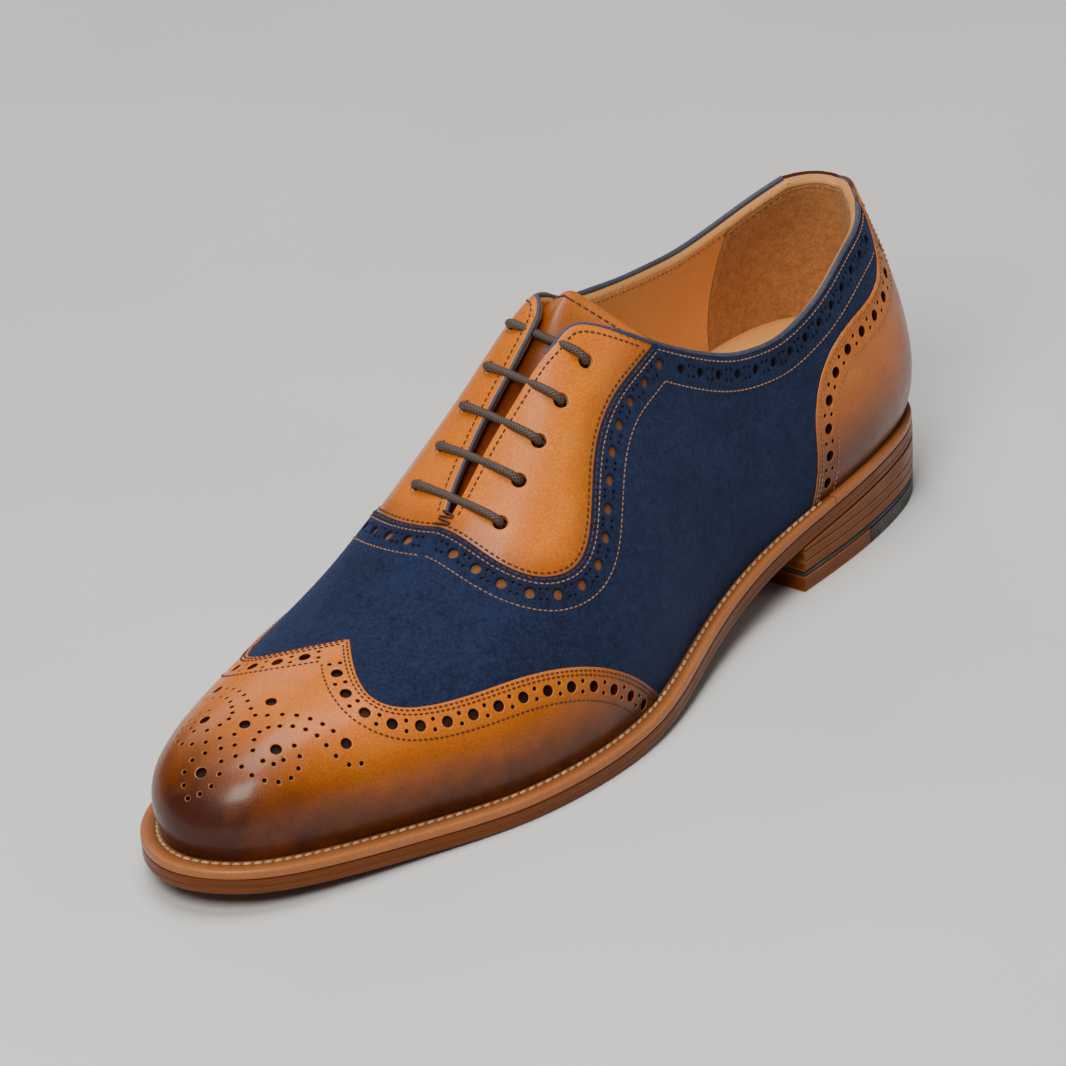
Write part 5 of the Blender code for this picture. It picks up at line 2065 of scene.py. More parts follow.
    def grip(self, material: Material) -> None:
        """Suede sheet inside the heel, its edges thinned.

        Args:
            material: Napped lining.
        """
        columns, rows = 90, 44
        share = np.linspace(0, 1, rows)
        sheets, gaps = [], []
        for place in np.linspace(-1, 1, columns):
            side = 1 if place >= 0 else -1
            top = float(self.collar_up(np.array(abs(place) * self.grip_reach), side)) - self.grip_margin
            up = 0.01 + (top - 0.01) * share
            around = abs(place) * (self.grip_reach + self.grip_margin * np.sin(share * math.pi))
            base = Places(around, np.full(rows, side), up)
            points, normals = base.points(self.last), base.normals(self.last)
            edge = (1 - abs(place)) * self.grip_reach * self.last.toe_at
            gaps.append(np.minimum(edge, (top - up) * self.last.instep_height))
            thick = self.grip_thickness - rolled(gaps[-1], 0.5 * MM)
            depth = self.lining_top - 0.02 * MM + relief(points)
            sheets.append([points + normals * (depth - thick)[:, None], points + normals * depth[:, None]])
        inner, outer = (np.array(sheets)[:, k].reshape(-1, 3) for k in (0, 1))
        quads = [face[::-1] for face in grid_faces(columns, rows)]
        triangles = np.array([f[:3] for f in quads] + [(f[0], f[2], f[3]) for f in quads])
        # The lower edge, under the sock, stays open
        edges = [(a, b) for a, b in open_edges(triangles) if a % rows or b % rows]
        walls = [(b, a, len(inner) + a, len(inner) + b) for a, b in edges]
        marks = {"rim": np.tile(np.concatenate(gaps) / MM, 2), "burnish_and_shade": np.zeros(2 * len(inner))}
        Shape(self.last, "heel_grip", np.concatenate([inner, outer]), quads + walls, marks).build(
            material, "lining_leather")

    def piping(self, material: Material) -> None:
        """Folded strip along the topline and round the facings, thinner there.

        Args:
            material: Strip's leather.
        """
        tubes, faces = [], []
        for side, throat_points, thinning in ((1, 1, (0.80, 0.88)), (-1, None, (0.55, 0.62))):
            throat = THROAT_EDGE[side][1:][:throat_points]
            line = Line.from_table(self.last, TOPLINE[side] + FACING_TOP[side][1:] + throat, side, 0.8 * MM)
            _, down, normals = line.directions()
            facing = ramp(arc_lengths(line.points()) / line.length(), *thinning)
            radius = self.piping_radius * (1 - 0.25 * facing)
            level = -0.25 * MM - 0.45 * MM * facing
            centres = line.points()
            centres = centres + normals * (level + relief(centres))[:, None] - down * 0.30 * MM
            tube, _ = sweep(centres, down, normals, np.stack([radius, radius * 1.15], axis=1), 10)
            start = sum(len(other) for other in tubes)
            tubes.append(tube)
            faces += [tuple(start + k for k in face) for face in tube_faces(len(centres), 10)]
        points = np.concatenate(tubes)
        marks = {"rim": np.full(len(points), 5.0), "burnish_and_shade": np.zeros(len(points))}
        Shape(self.last, "piping", points, faces, marks).build(material, "navy_suede")

    def sew(self, finishes: dict[str, Material]) -> None:
        """Sew every seam of the upper.

        Args:
            finishes: Materials by name.
        """
        last, beside = self.last, self.seams.beside
        wing = Stitches(last, "stitches_wing", width=0.54 * MM)
        counter = Stitches(last, "stitches_counter")
        suede = Stitches(last, "stitches_quarters")
        facing = Stitches(last, "stitches_facings", pitch=1.9 * MM, length=1.35 * MM, width=0.56 * MM)
        inside = Stitches(last, "stitches_lining", pitch=2.2 * MM, length=1.5 * MM)
        for side in (1, -1):
            for distance in (self.seam_first, self.seam_second, self.band_row):
                wing.row(beside("wing", side, distance), self.cap_top)
                counter.row(beside("counter", side, -distance, (("tab", 0.8 * MM),)), self.cap_top)
            counter.row(beside("tab", side, -self.seam_first), self.cap_top)
            near = (("topline", self.topline_row),)
            facing.row(beside("facing", side, self.seam_first, near), self.suede_top)
            suede.row(beside("facing", side, self.seam_second, near), self.suede_top)
            suede.row(beside("facing", side, self.suede_row, (("topline", self.suede_row * 0.98),)),
                      self.suede_top)
            suede.row(beside("topline", side, self.topline_row, (("facing", MM), ("counter", MM))),
                      self.suede_top)
            suede.row(beside("topline", side, self.suede_row,
                             (("facing", self.suede_row * 0.98), ("counter", MM))), self.suede_top)
            facing.row(beside("facing", side, -MM, (("topline", MM), ("facing_top", 2 * MM))),
                       self.facing_top)
            rows = list(FACING_TOP[side]) + list(THROAT_EDGE[side])[1:]
            edge = Line.from_table(last, rows, side).moved(self.throat_row)
            facing.row(edge.clear_of([self.seams.lines["facing"][side]], 2 * MM), self.facing_top)
            collar = Line.from_table(last, list(TAB_TOP[side]) + list(TOPLINE[side])[1:], side)
            self.sew_inside(inside, collar.moved(2.4 * MM))
        wing.build(finishes["dark_thread"], "tan_leather")
        counter.build(finishes["light_thread"], "tan_leather")
        suede.build(finishes["light_thread"], "navy_suede")
        facing.build(finishes["dark_thread"], "tan_leather")
        inside.build(finishes["light_thread"], "lining_leather")
        self.tack(finishes["dark_thread"])

    def sew_inside(self, stitches: Stitches, line: Line) -> None:
        """Sew a row on the lining's face, which looks into the shoe.

        Args:
            stitches: Piece that the row joins.
            line: Line on the last.
        """
        spots = line.resampled(stitches.pitch)
        along, _, normals = spots.directions()
        points = spots.points()
        reach = np.where(spots.around < self.grip_reach, self.grip_thickness, 0.0)
        depth = self.lining_top - reach + relief(points)
        stitches.path(points + normals * depth[:, None], along, -normals)

    def tack(self, material: Material) -> None:
        """Bar tack of a few slanting stitches across the throat's lower end.

        Args:
            material: Thread.
        """
        stitches = Stitches(self.last, "bar_tack", length=4.6 * MM, width=0.75 * MM, height=0.8 * MM,
                            sunk=0.1)
        around = np.array([0.6315, 0.6345, 0.6375, 0.6405])
        slants = np.array([0.18, -0.12, 0.1, -0.2])
        ridge = self.last.point(around, 1, np.ones(4))
        normals = self.last.slopes(around, np.ones(4), np.full(4, 0.995))[2]
        outer, inner = (self.last.point(around, side, np.full(4, 0.97)) for side in (1, -1))
        tilt = slants[:, None] * np.array([[1.0, 0.0, -0.4]])
        raised = ridge + normals * (self.facing_top + 0.1 * MM)
        stitches.path(raised, unit(unit(outer - inner) + tilt), normals)
        stitches.build(material, "tan_leather")


@dataclass
class Tongue:
    """Tongue under the facings, its top free. Painted shade darkens it where it lies in the throat, over a
    range of millimetres from the heel.
    """

    last: Last
    top: float = -4.7 * MM
    thickness: float = 2.0 * MM
    rows: int = 70
    columns: int = 61
    roll: float = 0.9 * MM
    stitch_row: float = 4.2 * MM
    edge_bend: float = 1.6
    crest_passes: int = 16
    throat_shade_darkest: float = 0.92
    throat_shade_span: tuple[float, float] = (112.0, 150.0)

    def build(self, leather: Material, thread: Material) -> None:
        """Build the tongue and its stitch row.

        Args:
            leather: Face leather.
            thread: Stitch thread.
        """
        table = Spline(np.arange(len(TONGUE)), np.array(TONGUE))(np.linspace(0, len(TONGUE) - 1, self.rows))
        across = np.linspace(-1, 1, self.columns)
        middle, edge, reach = table[:, 0:1], table[:, 1:2], table[:, 2:3]
        around = (middle + (edge - middle) * np.abs(across)**self.edge_bend).ravel()
        up = (1 - (1 - reach) * np.abs(across)).ravel()
        side = np.tile(np.where(across >= 0, 1, -1), self.rows)
        sheet = self.last.point(around, side, up).reshape(self.rows, self.columns, 3)
        for _ in range(self.crest_passes):
            sheet[:, 1:-1] = (sheet[:, :-2] + 2 * sheet[:, 1:-1] + sheet[:, 2:]) / 4
        points = sheet.reshape(-1, 3)
        faces = grid_faces(self.rows, self.columns)
        triangles = np.array([f[:3] for f in faces] + [(f[0], f[2], f[3]) for f in faces])
        normals = vertex_normals(points, triangles)
        if normals[:, 2].mean() < 0:
            normals, triangles = -normals, triangles[:, ::-1]
            faces = [face[::-1] for face in faces]
        gaps = rim_gaps(points, np.concatenate([sheet[-1], sheet[:, 0], sheet[:, -1], sheet[0]]))
        roll = rolled(gaps, self.roll)
        upper = points + normals * (self.top + relief(points) - roll)[:, None]
        lower = points + normals * (self.top - self.thickness + relief(points) + roll)[:, None]
        # Painted shade, darker towards the toe where the tongue lies in the throat.
        dark = self.throat_shade_darkest * ramp(points[:, 0] / MM, *self.throat_shade_span)
        marks = {"rim": np.tile(gaps / MM, 2), "burnish_and_shade": np.tile(dark, 2)}
        Shape(self.last, "tongue_leather_piece", np.concatenate([upper, lower]),
              sheet_faces(faces, triangles), marks).build(leather, "tan_leather", ("tongue",))
        self.sew(sheet, normals.reshape(sheet.shape), thread)

    def sew(self, sheet: Array, normals: Array, thread: Material) -> None:
        """Stitch row below the tongue's top edge.

        Args:
            sheet: Points of the tongue, row after row.
            normals: Ways out of it.
            thread: Stitch thread.
        """
        line, ways = [], []
        for j in range(3, self.columns - 3):
            column = sheet[:, j]
            share = np.interp(self.stitch_row, arc_lengths(column[::-1]), np.arange(self.rows))
            low = self.rows - 1 - math.ceil(share)
            mix = math.ceil(share) - share
            line.append(column[low] * (1 - mix) + column[low + 1] * mix)
            ways.append(normals[low, j])
        stitches = Stitches(self.last, "stitches_tongue", pitch=2.6 * MM, length=1.8 * MM, width=0.6 * MM)
        line = np.array(line)
        wanted = np.arange(stitches.pitch, arc_lengths(line)[-1], stitches.pitch)
        spots = read_path(line, wanted)
        outs = unit(read_path(line, wanted, np.array(ways)))
        stitches.path(spots + outs * (self.top + relief(spots))[:, None],
                      unit(np.gradient(spots, axis=0)), outs)
        stitches.build(thread, "tan_leather")


@dataclass
class Lacing:
    """One lace in straight bars, with its hidden runs under the facings."""

    last: Last
    radius: float = 1.28 * MM
    hidden_radius: float = 0.72 * MM
    hidden_level: float = -3.85 * MM
    lift: float = 0.22 * MM
    sides: int = 14
    step: float = 0.6 * MM
    bar_rise: float = 0.35 * MM

    def build(self, material: Material) -> None:
        """Build the lace.

        Args:
            material: Braided finish.
        """
        route, hidden = self.route()
        at = arc_lengths(route)
        count = int(at[-1] / self.step)
        places = Spline(at, np.column_stack([route, hidden]))(np.linspace(0, at[-1], count))
        path, flat = places[:, :3], np.clip(places[:, 3], 0, 1)
        along = unit(np.gradient(path, axis=0))
        first = np.zeros_like(path)
        guide = unit(np.cross(along[0], np.array([0.0, 0.0, 1.0])))
        for k in range(len(path)):
            guide = unit(guide - along[k] * np.dot(guide, along[k]))
            first[k] = guide
        second = np.cross(along, first)
        radii = (self.radius + (self.hidden_radius - self.radius) * flat)[:, None] * np.ones((1, 2))
        points, turn = sweep(path, first, second, radii, self.sides)
        run = np.repeat(arc_lengths(path), self.sides)
        LOG.info("lace length: %.0f mm", arc_lengths(path)[-1] / MM)
        nodes = tuple(f"lace_bar_{number}" for number in range(1, len(EYELETS[1]) + 1))
        Shape(self.last, "lace", points, tube_faces(len(path), self.sides),
              {"along": run, "turn": turn}).build(material, "waxed_lace", nodes)

    def spot(self, place: tuple[float, float], side: int, level: float, toward: float = 0.0,
             other: tuple[float, float] = (0.0, 0.0)) -> Array:
        """Point over or under a place on the last.

        Args:
            place: Around and up.
            side: Side of the foot.
            level: Height over the last.
            toward: Distance moved towards a place on the other side.
            other: Around and up of that place.

        Returns:
            The point.
        """
        around, up = np.array([place[0]]), np.array([place[1]])
        sides = np.array([side])
        if toward:
            far = self.last.point(np.array([other[0]]), -sides, np.array([other[1]]))
            near = self.last.point(around, sides, up)
            around, up = self.last.travel(around, sides, up, unit(far - near) * toward)
        point = self.last.point(around, sides, up)
        out = self.last.slopes(around, sides, up)[2]
        return (point + out * (level + relief(point)))[0]

    def bar(self, number: int, start: int) -> list[tuple[Array, float]]:
        """Points of a bar from one side to the other, each with how hidden it is.

        Args:
            number: Pair of eyelets, from the top.
            start: Side where it starts.

        Returns:
            The points, with 1 for hidden and 0 for free.
        """
        over = self.radius + self.lift
        steps = ((self.hidden_level, 0.0, 1.0), (-1.9 * MM, 0.1 * MM, 0.35), (-0.2 * MM, 0.35 * MM, 0.0),
                 (over - 0.35 * MM, 1.6 * MM, 0.0), (over, 3.4 * MM, 0.0))
        near, far = ([(self.spot(EYELETS[side][number], side, level, toward, EYELETS[-side][number]), hidden)
                      for level, toward, hidden in steps] for side in (start, -start))
        first, reach = near[-1][0], far[-1][0] - near[-1][0]
        between = []
        for share in (0.33, 0.67):
            rise = self.bar_rise * math.sin(share * math.pi)
            between.append((first + reach * share + np.array([0.0, 0.0, rise]), 0.0))
        return near + between + far[::-1]

    def run(self, side: int, start: int, end: int, aside: float = 0.0) -> list[tuple[Array, float]]:
        """Points of a hidden run under a facing.

        Args:
            side: Side of the foot.
            start: Eyelet that it leaves.
            end: Eyelet that it reaches.
            aside: How far up it swings on its way.

        Returns:
            The points, all hidden.
        """
        found = []
        (a0, u0), (a1, u1) = EYELETS[side][start], EYELETS[side][end]
        steps = max(3, abs(end - start) * 3)
        for share in (k / steps for k in range(1, steps)):
            up = u0 + (u1 - u0) * share + aside * math.sin(share * math.pi)**0.5
            found.append((self.spot((a0 + (a1 - a0) * share, up), side, self.hidden_level), 1.0))
        return found

    def route(self) -> tuple[Array, Array]:
        """Points of the whole lace and how hidden each is, from one top eyelet to the other.

        Returns:
            The points, and 1 for hidden or 0 for free.
        """
        last_pair = len(EYELETS[1]) - 1
        found = [(self.spot(EYELETS[1][0], 1, self.hidden_level, 2.2 * MM, EYELETS[-1][0]), 1.0)]
        found += self.run(1, 0, last_pair, 0.045)
        side = 1
        for number in range(last_pair, -1, -1):
            found += self.bar(number, side)
            side = -side
            if number:
                found += self.run(side, number, number - 1)
        return np.array([point for point, _ in found]), np.array([hidden for _, hidden in found])[:, None]


# Profiles of the sole's edge: inset from the outline and height over the sole's lower face in millimetres,
# share of the ledge, and distance to an edge in millimetres. The seam's rows leave the share out.
OUTSOLE_EDGE = (
    (4.0, 0.0, 0.0, 5.0), (1.1, 0.0, 0.0, 1.5), (0.55, 0.12, 0.0, 0.4), (0.2, 0.5, 0.0, 0.2),
    (0.0, 1.1, 0.0, 1.0), (0.0, 2.2, 0.0, 1.0), (0.07, 2.3, 0.0, 0.2), (0.0, 2.4, 0.0, 1.0),
    (0.0, 4.2, 0.0, 1.0), (0.04, 4.5, 0.0, 0.4), (0.2, 4.75, 0.0, 0.0), (6.0, 4.75, 0.0, 0.0),
)
WELT_EDGE = (
    (3.0, 4.9, 1.0, 2.0), (0.2, 4.9, 0.0, 0.0), (0.04, 5.05, 0.0, 0.3), (0.0, 5.5, 0.0, 2.0),
    (0.0, 6.5, 0.0, 2.0), (0.12, 7.0, 0.0, 2.0), (0.45, 7.32, 0.0, 2.0), (0.9, 7.4, 0.0, 2.0),
)
WELT_SEAM = ((-0.75, 7.4, 2.0), (-0.35, 7.22, 0.5), (0.0, 7.12, 0.2), (0.35, 7.22, 0.5), (0.75, 7.4, 2.0))
WELT_INSIDE = ((0.0, 7.4, 1.0, 2.0), (3.0, 7.4, 1.0, 2.0))

# The sock, ring after ring: share of its height, drop from its top, distance from the lining and to an edge
SOCK_RINGS = (
    (0.0, 0.0, 1.2, 0.0), (0.0, 0.0, 0.0, 0.0), (0.5, 0.0, 0.0, 3.0), (1.0, 1.6, 0.0, 1.6),
    (1.0, 0.7, 0.1, 0.0), (1.0, 0.2, 0.6, 0.6), (1.0, 0.0, 1.6, 1.6), (1.0, 0.1, 4.0, 4.0),
    (1.0, 0.4, 8.0, 8.0),
)


@dataclass
class Sole:
    """Outsole, welt and heel seat rim, with the welt's stitches, and the sock inside."""

    last: Last
    stations: int = 330
    welt_end: float = 0.228
    lining: float = 3.1 * MM
    sock_base: float = 8.8 * MM
    sock_front: float = 10.8 * MM
    sock_rear: float = 27.0 * MM
    sock_slope: tuple[float, float] = (0.20, 0.50)
    stitch_share: float = 0.7
    stitch_height: float = 7.15 * MM
    rim_gap: float = 0.0012

    def ring(self, around: Array, side: Array, inset: float, ledge: float, height: float) -> Array:
        """Points at places round the outline, moved in and up.

        Args:
            around: Shares of the way from heel to toe.
            side: Sides of the places.
            inset: Distance in from the outline.
            ledge: Share of the ledge moved in besides.
            height: Height over the sole's lower face.

        Returns:
            The points.
        """
        plan = self.last.outline_point(around, side, inset, ledge)
        return np.column_stack([plan, self.last.bottom(plan[:, 0]) + height])

    def round_trip(self) -> tuple[Array, Array]:
        """Places round the whole outline, outer side first.

        Returns:
            Values of around and of side.
        """
        around = np.linspace(0, 1, self.stations)
        around = around - 0.03 * np.sin(2 * math.pi * around)
        both = np.concatenate([around, around[-2:0:-1]])
        side = np.concatenate([np.ones(self.stations), -np.ones(self.stations - 2)])
        return both, side

    def solid(self, name: str, rings: list[Array], rims: Sequence[float],
              material: Material, slot: str, nodes: Sequence[str]) -> None:
        """Closed body through rings round the whole outline.

        Args:
            name: Name of the piece.
            rings: Points of each ring, the lowest first.
            rims: Distance of each ring to an edge, in millimetres.
            material: Finish.
            slot: Record slot.
            nodes: CAD nodes that it replaces.
        """
        size = len(rings[0])
        faces = grid_faces(len(rings), size, ring=True)
        for first, turned in ((0, -1), ((len(rings) - 1) * size, 1)):
            for k in range(1, size // 2):
                face = (first + k, first + (k + 1), first + size - k - 1, first + (size - k) % size)
                if len(set(face)) == 4:
                    faces.append(face[::turned])
            faces.append((first, first + 1, first + size - 1)[::turned])
        points = np.concatenate(rings)
        marks = {"level": points[:, 2] - self.last.bottom(points[:, 0]), "rim": np.repeat(rims, size),
                 "burnish_and_shade": np.zeros(len(points))}
        Shape(self.last, name, points, faces, marks).build(material, slot, nodes)

    def band(self, name: str, around: Array, side: Array,
             profile: Sequence[tuple[float, float, float, float]], material: Material,
             nodes: Sequence[str]) -> None:
        """Closed band along part of the outline.

        Args:
            name: Name of the piece.
            around: Places along it.
            side: Sides of the places.
            profile: Inset and height in millimetres, share of the ledge and distance to an edge.
            material: Finish.
            nodes: CAD nodes that it replaces.
        """
        rings = np.array([self.ring(around, side, i * MM, s, h * MM) for i, h, s, _ in profile])
        points = rings.transpose(1, 0, 2).reshape(-1, 3)
        faces = [face[::-1] for face in tube_faces(len(around), len(profile))]
        _, height, ledge, gap = np.array(profile).T
        # Painted shade: the welt darkens the further in it lies, under the upper.
        marks = {"level": np.tile(height * MM, len(around)), "rim": np.tile(gap, len(around)),
                 "burnish_and_shade": np.tile(np.maximum(0.0, ledge * 0.9), len(around))}
        Shape(self.last, name, points, faces, marks).build(material, "welt_leather", nodes)

    def build(self, finishes: dict[str, Material]) -> None:
        """Build the sole's pieces.

        Args:
            finishes: Materials by name.
        """
        around, side = self.round_trip()
        rings = [self.ring(around, side, i * MM, s, h * MM) for i, h, s, _ in OUTSOLE_EDGE]
        self.solid("outsole_leather", rings, [p[3] for p in OUTSOLE_EDGE], finishes["sole"], "sole_leather",
                   ("outsole",))
        seam = tuple((inset, height, self.stitch_share, gap) for inset, height, gap in WELT_SEAM)
        self.band("welt_strip", *self.round_toe(self.welt_end, self.stations),
                  WELT_EDGE + seam + WELT_INSIDE, finishes["welt"], ("welt",))
        rear = np.linspace(0, self.welt_end - self.rim_gap, 120)
        around = np.concatenate([rear[::-1], rear[1:]])
        side = np.concatenate([-np.ones(len(rear)), np.ones(len(rear) - 1)])
        self.band("heel_seat_rim", around, side, WELT_EDGE + WELT_INSIDE, finishes["welt"], ("heel_seat",))
        self.stitch(finishes["cream_thread"])
        self.sock(finishes["sock"])

    @staticmethod
    def round_toe(start: float, count: int) -> tuple[Array, Array]:
        """Places from a start on the outer side round the toe to the inner side.

        Args:
            start: Around of both ends.
            count: Places on the outer side.

        Returns:
            Values of around and of side.
        """
        even = np.linspace(start, 1, count)
        side = np.concatenate([np.ones(count), -np.ones(count - 1)])
        return np.concatenate([even, even[-2::-1]]), side

    def stitch(self, thread: Material) -> None:
        """Stitches along the welt.

        Args:
            thread: Stitch thread.
        """
        stitches = Stitches(self.last, "stitches_welt", pitch=2.9 * MM, length=2.3 * MM, width=0.9 * MM,
                            height=0.75 * MM, sunk=0.35, lean=0.14)
        places = self.round_toe(self.welt_end + 0.004, 900)
        path = self.ring(*places, 0.0, self.stitch_share, self.stitch_height)
        length = arc_lengths(path)[-1]
        spots = read_path(path, np.linspace(stitches.pitch, length - stitches.pitch,
                                            int(length / stitches.pitch)))
        along = unit(np.gradient(spots, axis=0))
        stitches.path(spots, along, np.tile([0.0, 0.0, 1.0], (len(spots), 1)))
        stitches.build(thread, "welt_leather")

    def inside_ring(self, height: Array, inward: float) -> Array:
        """Ring on the lining's face at heights over the sole's lower face.

        Args:
            height: Height at each place of the round trip.
            inward: Distance moved in from the lining.

        Returns:
            The points.
        """
        around, side = self.round_trip()
        steps = np.linspace(0, 0.75, 26)
        places = [np.repeat(around, len(steps)), np.repeat(side, len(steps)), np.tile(steps, len(around))]
        points = self.last.point(*places)
        normals = self.last.slopes(*places)[2]
        points = points - normals * (self.lining + inward) * [1, 1, 0] - normals * self.lining * [0, 0, 1]
        points = points.reshape(len(around), len(steps), 3)
        over = points[..., 2] - self.last.bottom(points[..., 0])
        found = []
        for k, wanted in enumerate(height):
            share = np.interp(wanted, over[k], np.arange(len(steps)))
            found.append([np.interp(share, np.arange(len(steps)), points[k, :, axis]) for axis in range(3)])
        ring = np.array(found)
        ring[:, 2] = self.last.bottom(ring[:, 0]) + height
        return ring

    def sock(self, material: Material) -> None:
        """Padded sock on the insole, thick under the heel and thin towards the toe.

        Args:
            material: Sock leather.
        """
        around, _ = self.round_trip()
        base = np.full(len(around), self.sock_base)
        top = self.sock_front + (self.sock_rear - self.sock_front) * (1 - ramp(around, *self.sock_slope))
        rings = [self.inside_ring(base + (top - base - drop * MM) * share, inward * MM)
                 for share, drop, inward, _ in SOCK_RINGS]
        self.solid("sock", rings, [row[3] for row in SOCK_RINGS], material, "lining_leather", ())


# A heel layer, ring after ring: share of its height, inset in millimetres, distance to an edge
HEEL_RINGS = (
    (0.0, 0.25, 0.0), (0.0, 0.0, 0.1), (0.25, 0.0, 1.0), (0.5, 0.0, 1.0), (0.75, 0.0, 1.0),
    (1.0, 0.0, 0.1), (1.0, 0.25, 0.0),
)


@dataclass
class Heel:
    """Stacked heel: lifts, a rubber sheet and a top piece of rubber and leather."""

    last: Last
    length: float = 77.0 * MM
    top_piece: float = 5.0 * MM
    rubber: float = 1.2 * MM
    lift: float = 3.0 * MM
    gap: float = 0.3 * MM
    taper: float = 0.07
    joint: float = 44.0 * MM
    samples: int = 90
    round_edge: float = 0.22 * MM

    def outline(self, start: float, end: float, inset: float) -> Array:
        """Plan of a layer between two distances from the heel's back.

        Args:
            start: Distance where it starts.
            end: Distance where it ends.
            inset: How far it stands in from the sole's outline.

        Returns:
            Points of a closed ring.
        """
        halves = []
        for side in (1, -1):
            fine = self.last.outline_point(np.linspace(0, 0.36, 500), np.full(500, side), inset)
            low = max(start, float(fine[:, 0].min()))
            first = int(np.argmin(fine[:, 0]))
            fine = fine[first:]
            inside = fine[(fine[:, 0] > low + 1e-6) & (fine[:, 0] < end - 1e-6)]
            tail = [end, float(np.interp(end, fine[:, 0], fine[:, 1]))]
            head = [low, float(np.interp(low, fine[:, 0], fine[:, 1]))]
            run = np.vstack([[head], inside, [tail]])
            halves.append(read_path(run, np.linspace(0, arc_lengths(run)[-1], self.samples)))
        outer, inner = halves
        return np.concatenate([outer, inner[:0:-1] if start == 0 else inner[::-1]])

    def block(self, name: str, start: float, end: float, low: float, high: Optional[float],
              material: Material, slot: str, node: str) -> None:
        """One layer with slightly rounded edges; high is None for the layer under the sole.

        Args:
            name: Name of the piece.
            start: Distance from the heel's back where it starts.
            end: Distance where it ends.
            low: Height of its lower face.
            high: Height of its upper face.
            material: Finish.
            slot: Record slot.
            node: CAD node that it replaces.
        """
        rings, rims = [], []
        for share, inward, rim in HEEL_RINGS:
            nudge = self.round_edge if inward == 0.0 and share in (0.0, 1.0) else 0.0
            shift = nudge if share == 0.0 else -nudge
            plan = self.outline(start, end, 0.0)
            middle = float(np.mean(low + (self.top(plan, high) - low) * share + shift))
            slant = max(0.0, self.taper * (self.last.heel_height - middle))
            plan = self.outline(start, end, slant + inward * MM)
            rings.append(np.column_stack([plan, low + (self.top(plan, high) - low) * share + shift]))
            rims.append(np.full(len(plan), rim))
        points = np.concatenate(rings)
        marks = {"level": points[:, 2], "rim": np.concatenate(rims), "burnish_and_shade": np.zeros(len(points))}
        Shape(self.last, name, points, tube_faces(len(rings), len(rings[0])), marks).build(
            material, slot, (node,), sharp=40.0)

    def top(self, plan: Array, high: Optional[float]) -> Array:
        """Height of a layer's upper face, which follows the sole where none is given."""
        return self.last.bottom(plan[:, 0]) - self.gap if high is None else np.full(len(plan), high)

    def build(self, finishes: dict[str, Material]) -> None:
        """Build every layer.

        Args:
            finishes: Materials by name.
        """
        sole, rubber = finishes["heel"], finishes["rubber"]
        self.block("top_piece_rubber_part", 0.0, self.joint, 0.0, self.top_piece, rubber, "black_rubber",
                   "top_piece_rubber")
        self.block("top_piece_leather_part", self.joint + self.gap, self.length, 0.0, self.top_piece, sole,
                   "sole_leather", "top_piece_leather")
        level = self.top_piece + self.gap
        self.block("rubber_layer", 0.0, self.length, level, level + self.rubber, rubber, "black_rubber",
                   "rubber_sheet")
        level += self.rubber + self.gap
        for number in (1, 2):
            self.block(f"lift_{number}", 0.0, self.length, level, level + self.lift, sole, "sole_leather",
                       f"heel_lift_{number}")
            level += self.lift + self.gap
        self.block("lift_3", 0.0, self.length, level, None, sole, "sole_leather", "heel_lift_3")


# Lights: name, place, side of the square, watts and tint
LIGHTS = (
    ("key", (0.90, 0.42, 1.08), 0.55, 17.0, (1.0, 0.97, 0.93)),
    ("top", (0.05, 0.0, 1.45), 0.8, 17.0, (1.0, 0.98, 0.95)),
    ("side", (-0.75, 0.95, 0.7), 0.7, 1.5, (1.0, 0.96, 0.92)),
    ("rim", (-0.5, -1.1, 0.9), 0.8, 3.5, (0.94, 0.97, 1.0)),
)


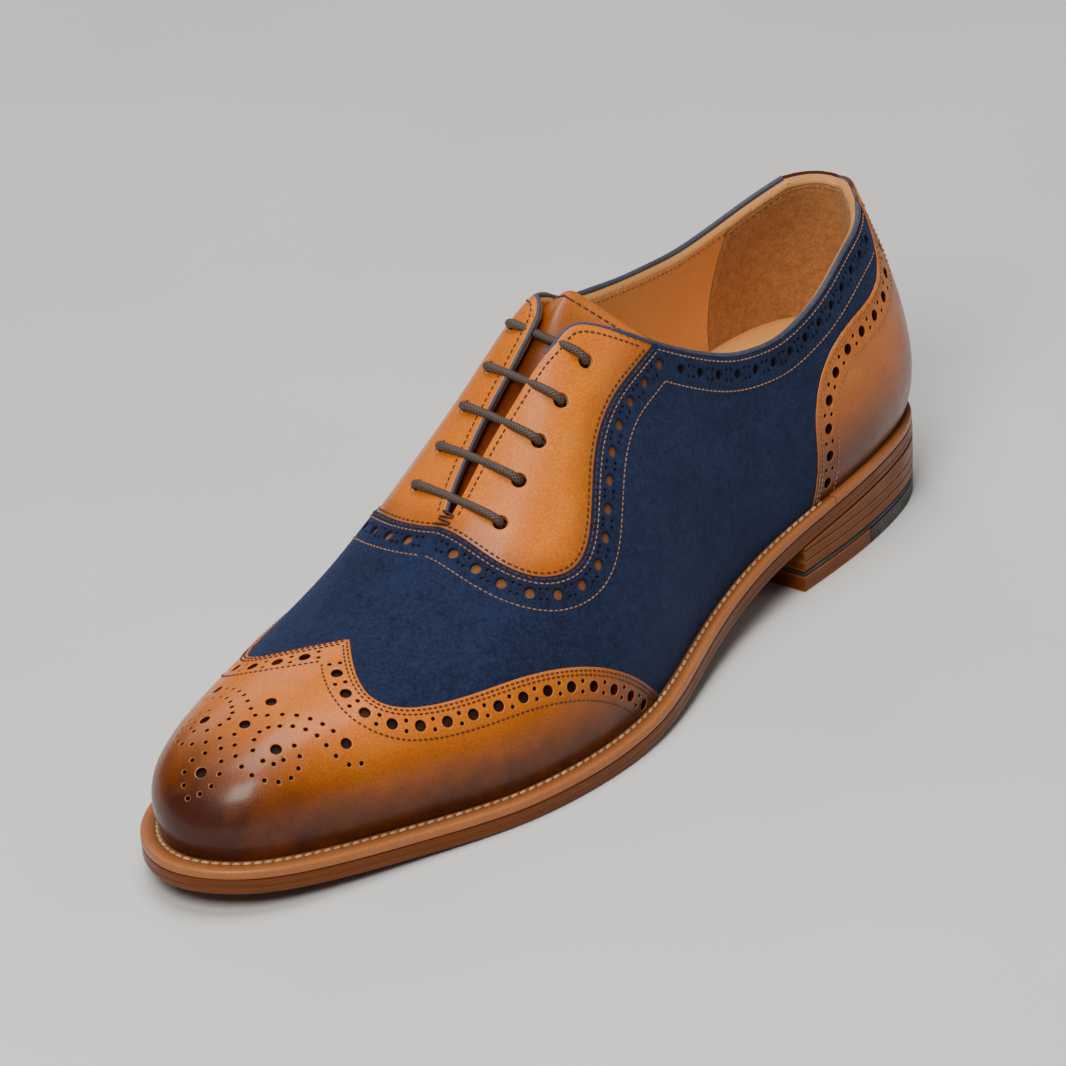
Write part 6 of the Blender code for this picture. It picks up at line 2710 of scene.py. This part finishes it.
@dataclass
class Studio:
    """Camera at the photograph's angle, soft lights and a pale floor."""

    last: Last
    azimuth: float = 131.52
    elevation: float = 28.26
    roll: float = -5.743
    distance: float = 2.3202 * 304 / 300
    focal_pixels: float = 8426.1
    image_pixels: float = 1066.0
    sensor: float = 36.0
    target: tuple[float, float, float] = (0.15 * 304 / 300, -0.0015 * 304 / 300, 0.0453 * 304 / 300)
    floor_half: float = 6.0
    world_colour: Colour = (0.9, 0.92, 0.95)
    world_strength: float = 0.12
    look_at: tuple[float, float, float] = (0.0, 0.0, 0.05)

    def build(self, floor: Material) -> None:
        """Set up the camera, the lights, the floor and the world.

        Args:
            floor: Finish of the floor.
        """
        self.camera()
        self.lights()
        self.floor(floor)

    def camera(self) -> None:
        """Camera, turned and rolled as the photograph's."""
        az, el, roll = (math.radians(v) for v in (self.azimuth, self.elevation, self.roll))
        back = Vector((math.sin(az) * math.cos(el), -math.cos(az) * math.cos(el), math.sin(el)))
        right = Vector((math.cos(az), math.sin(az), 0))
        up = back.cross(right)
        turned_right = right * math.cos(roll) + up * math.sin(roll)
        turned_up = up * math.cos(roll) - right * math.sin(roll)
        place = Vector(self.target) - Vector(self.last.shift) + back * self.distance
        data = bpy.data.cameras.new("camera")
        data.sensor_width = self.sensor
        data.lens = self.focal_pixels / self.image_pixels * self.sensor
        data.clip_end = 20.0
        camera = bpy.data.objects.new("camera", data)
        bpy.context.scene.collection.objects.link(camera)
        camera.matrix_world = Matrix((
            (turned_right.x, turned_up.x, back.x, place.x), (turned_right.y, turned_up.y, back.y, place.y),
            (turned_right.z, turned_up.z, back.z, place.z), (0, 0, 0, 1)))
        bpy.context.scene.camera = camera

    def light(self, name: str, place: Sequence[float], size: float, power: float, colour: Colour) -> None:
        """Square soft light that looks at the shoe.

        Args:
            name: Name of the light.
            place: Where it stands.
            size: Length of its side.
            power: Watts.
            colour: Its tint.
        """
        data = bpy.data.lights.new(name, "AREA")
        data.shape = "SQUARE"
        data.size = size
        data.energy = power
        data.color = colour
        light = bpy.data.objects.new(name, data)
        bpy.context.scene.collection.objects.link(light)
        light.location = place
        aim = Vector(self.look_at) - Vector(place)
        light.rotation_euler = aim.to_track_quat("-Z", "Y").to_euler()

    def lights(self) -> None:
        """Soft lights before the toe and above, two faint ones beside the heel and behind, and the world."""
        for name, place, size, power, colour in LIGHTS:
            self.light(name, place, size, power, colour)
        world = bpy.data.worlds.new("studio")
        world.use_nodes = True
        background = world.node_tree.nodes["Background"]
        background.inputs["Color"].default_value = (*self.world_colour, 1.0)
        background.inputs["Strength"].default_value = self.world_strength
        bpy.context.scene.world = world

    def floor(self, material: Material) -> None:
        """Plain pale floor.

        Args:
            material: Its finish.
        """
        mesh = bpy.data.meshes.new("floor")
        half = self.floor_half
        corners = [(-half, -half, 0), (half, -half, 0), (half, half, 0), (-half, half, 0)]
        mesh.from_pydata(corners, [], [(0, 1, 2, 3)])
        mesh.materials.append(material)
        floor = bpy.data.objects.new("floor", mesh)
        bpy.context.scene.collection.objects.link(floor)


def build_finishes(effects: Effects) -> dict[str, Material]:
    """Materials by the short names that the classes use.

    Args:
        effects: Shared node groups.

    Returns:
        The materials by name.
    """
    plan = {"tan": TAN, "underlay": UNDERLAY, "lining": LINING, "sock": SOCK, "tongue": TONGUE_TAN,
            "welt": WELT, "navy": NAVY, "piping": PIPING, "grip": GRIP, "sole": SOLE, "heel": HEEL_STACK,
            "rubber": RUBBER, "dark_thread": DARK_THREAD, "light_thread": LIGHT_THREAD,
            "cream_thread": CREAM_THREAD, "lace": LACE, "floor": FLOOR}
    return {key: finish.material(effects) for key, finish in plan.items()}


def dress_frame(finishes: dict[str, Material]) -> None:
    """Give the CAD node that stays, the insole, its finish.

    Args:
        finishes: Materials by name.
    """
    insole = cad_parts["insole"]
    for slot in insole.material_slots:
        slot.material = finishes["sock"]


def main() -> None:
    """Build the shoe's sub-assemblies in order, then the studio."""
    logging.basicConfig(level=logging.INFO, format="%(name)s: %(message)s")
    last = Last()
    LOG.info("row shift: %s", [round(float(v) / MM, 3) for v in last.shift])
    finishes = build_finishes(Effects())
    seams = Seams(last)
    Upper(last, seams).build(finishes)
    Tongue(last).build(finishes["tongue"], finishes["dark_thread"])
    Lacing(last).build(finishes["lace"])
    Sole(last).build(finishes)
    Heel(last).build(finishes)
    dress_frame(finishes)
    Studio(last).build(finishes["floor"])


if __name__ == "__main__":
    main()
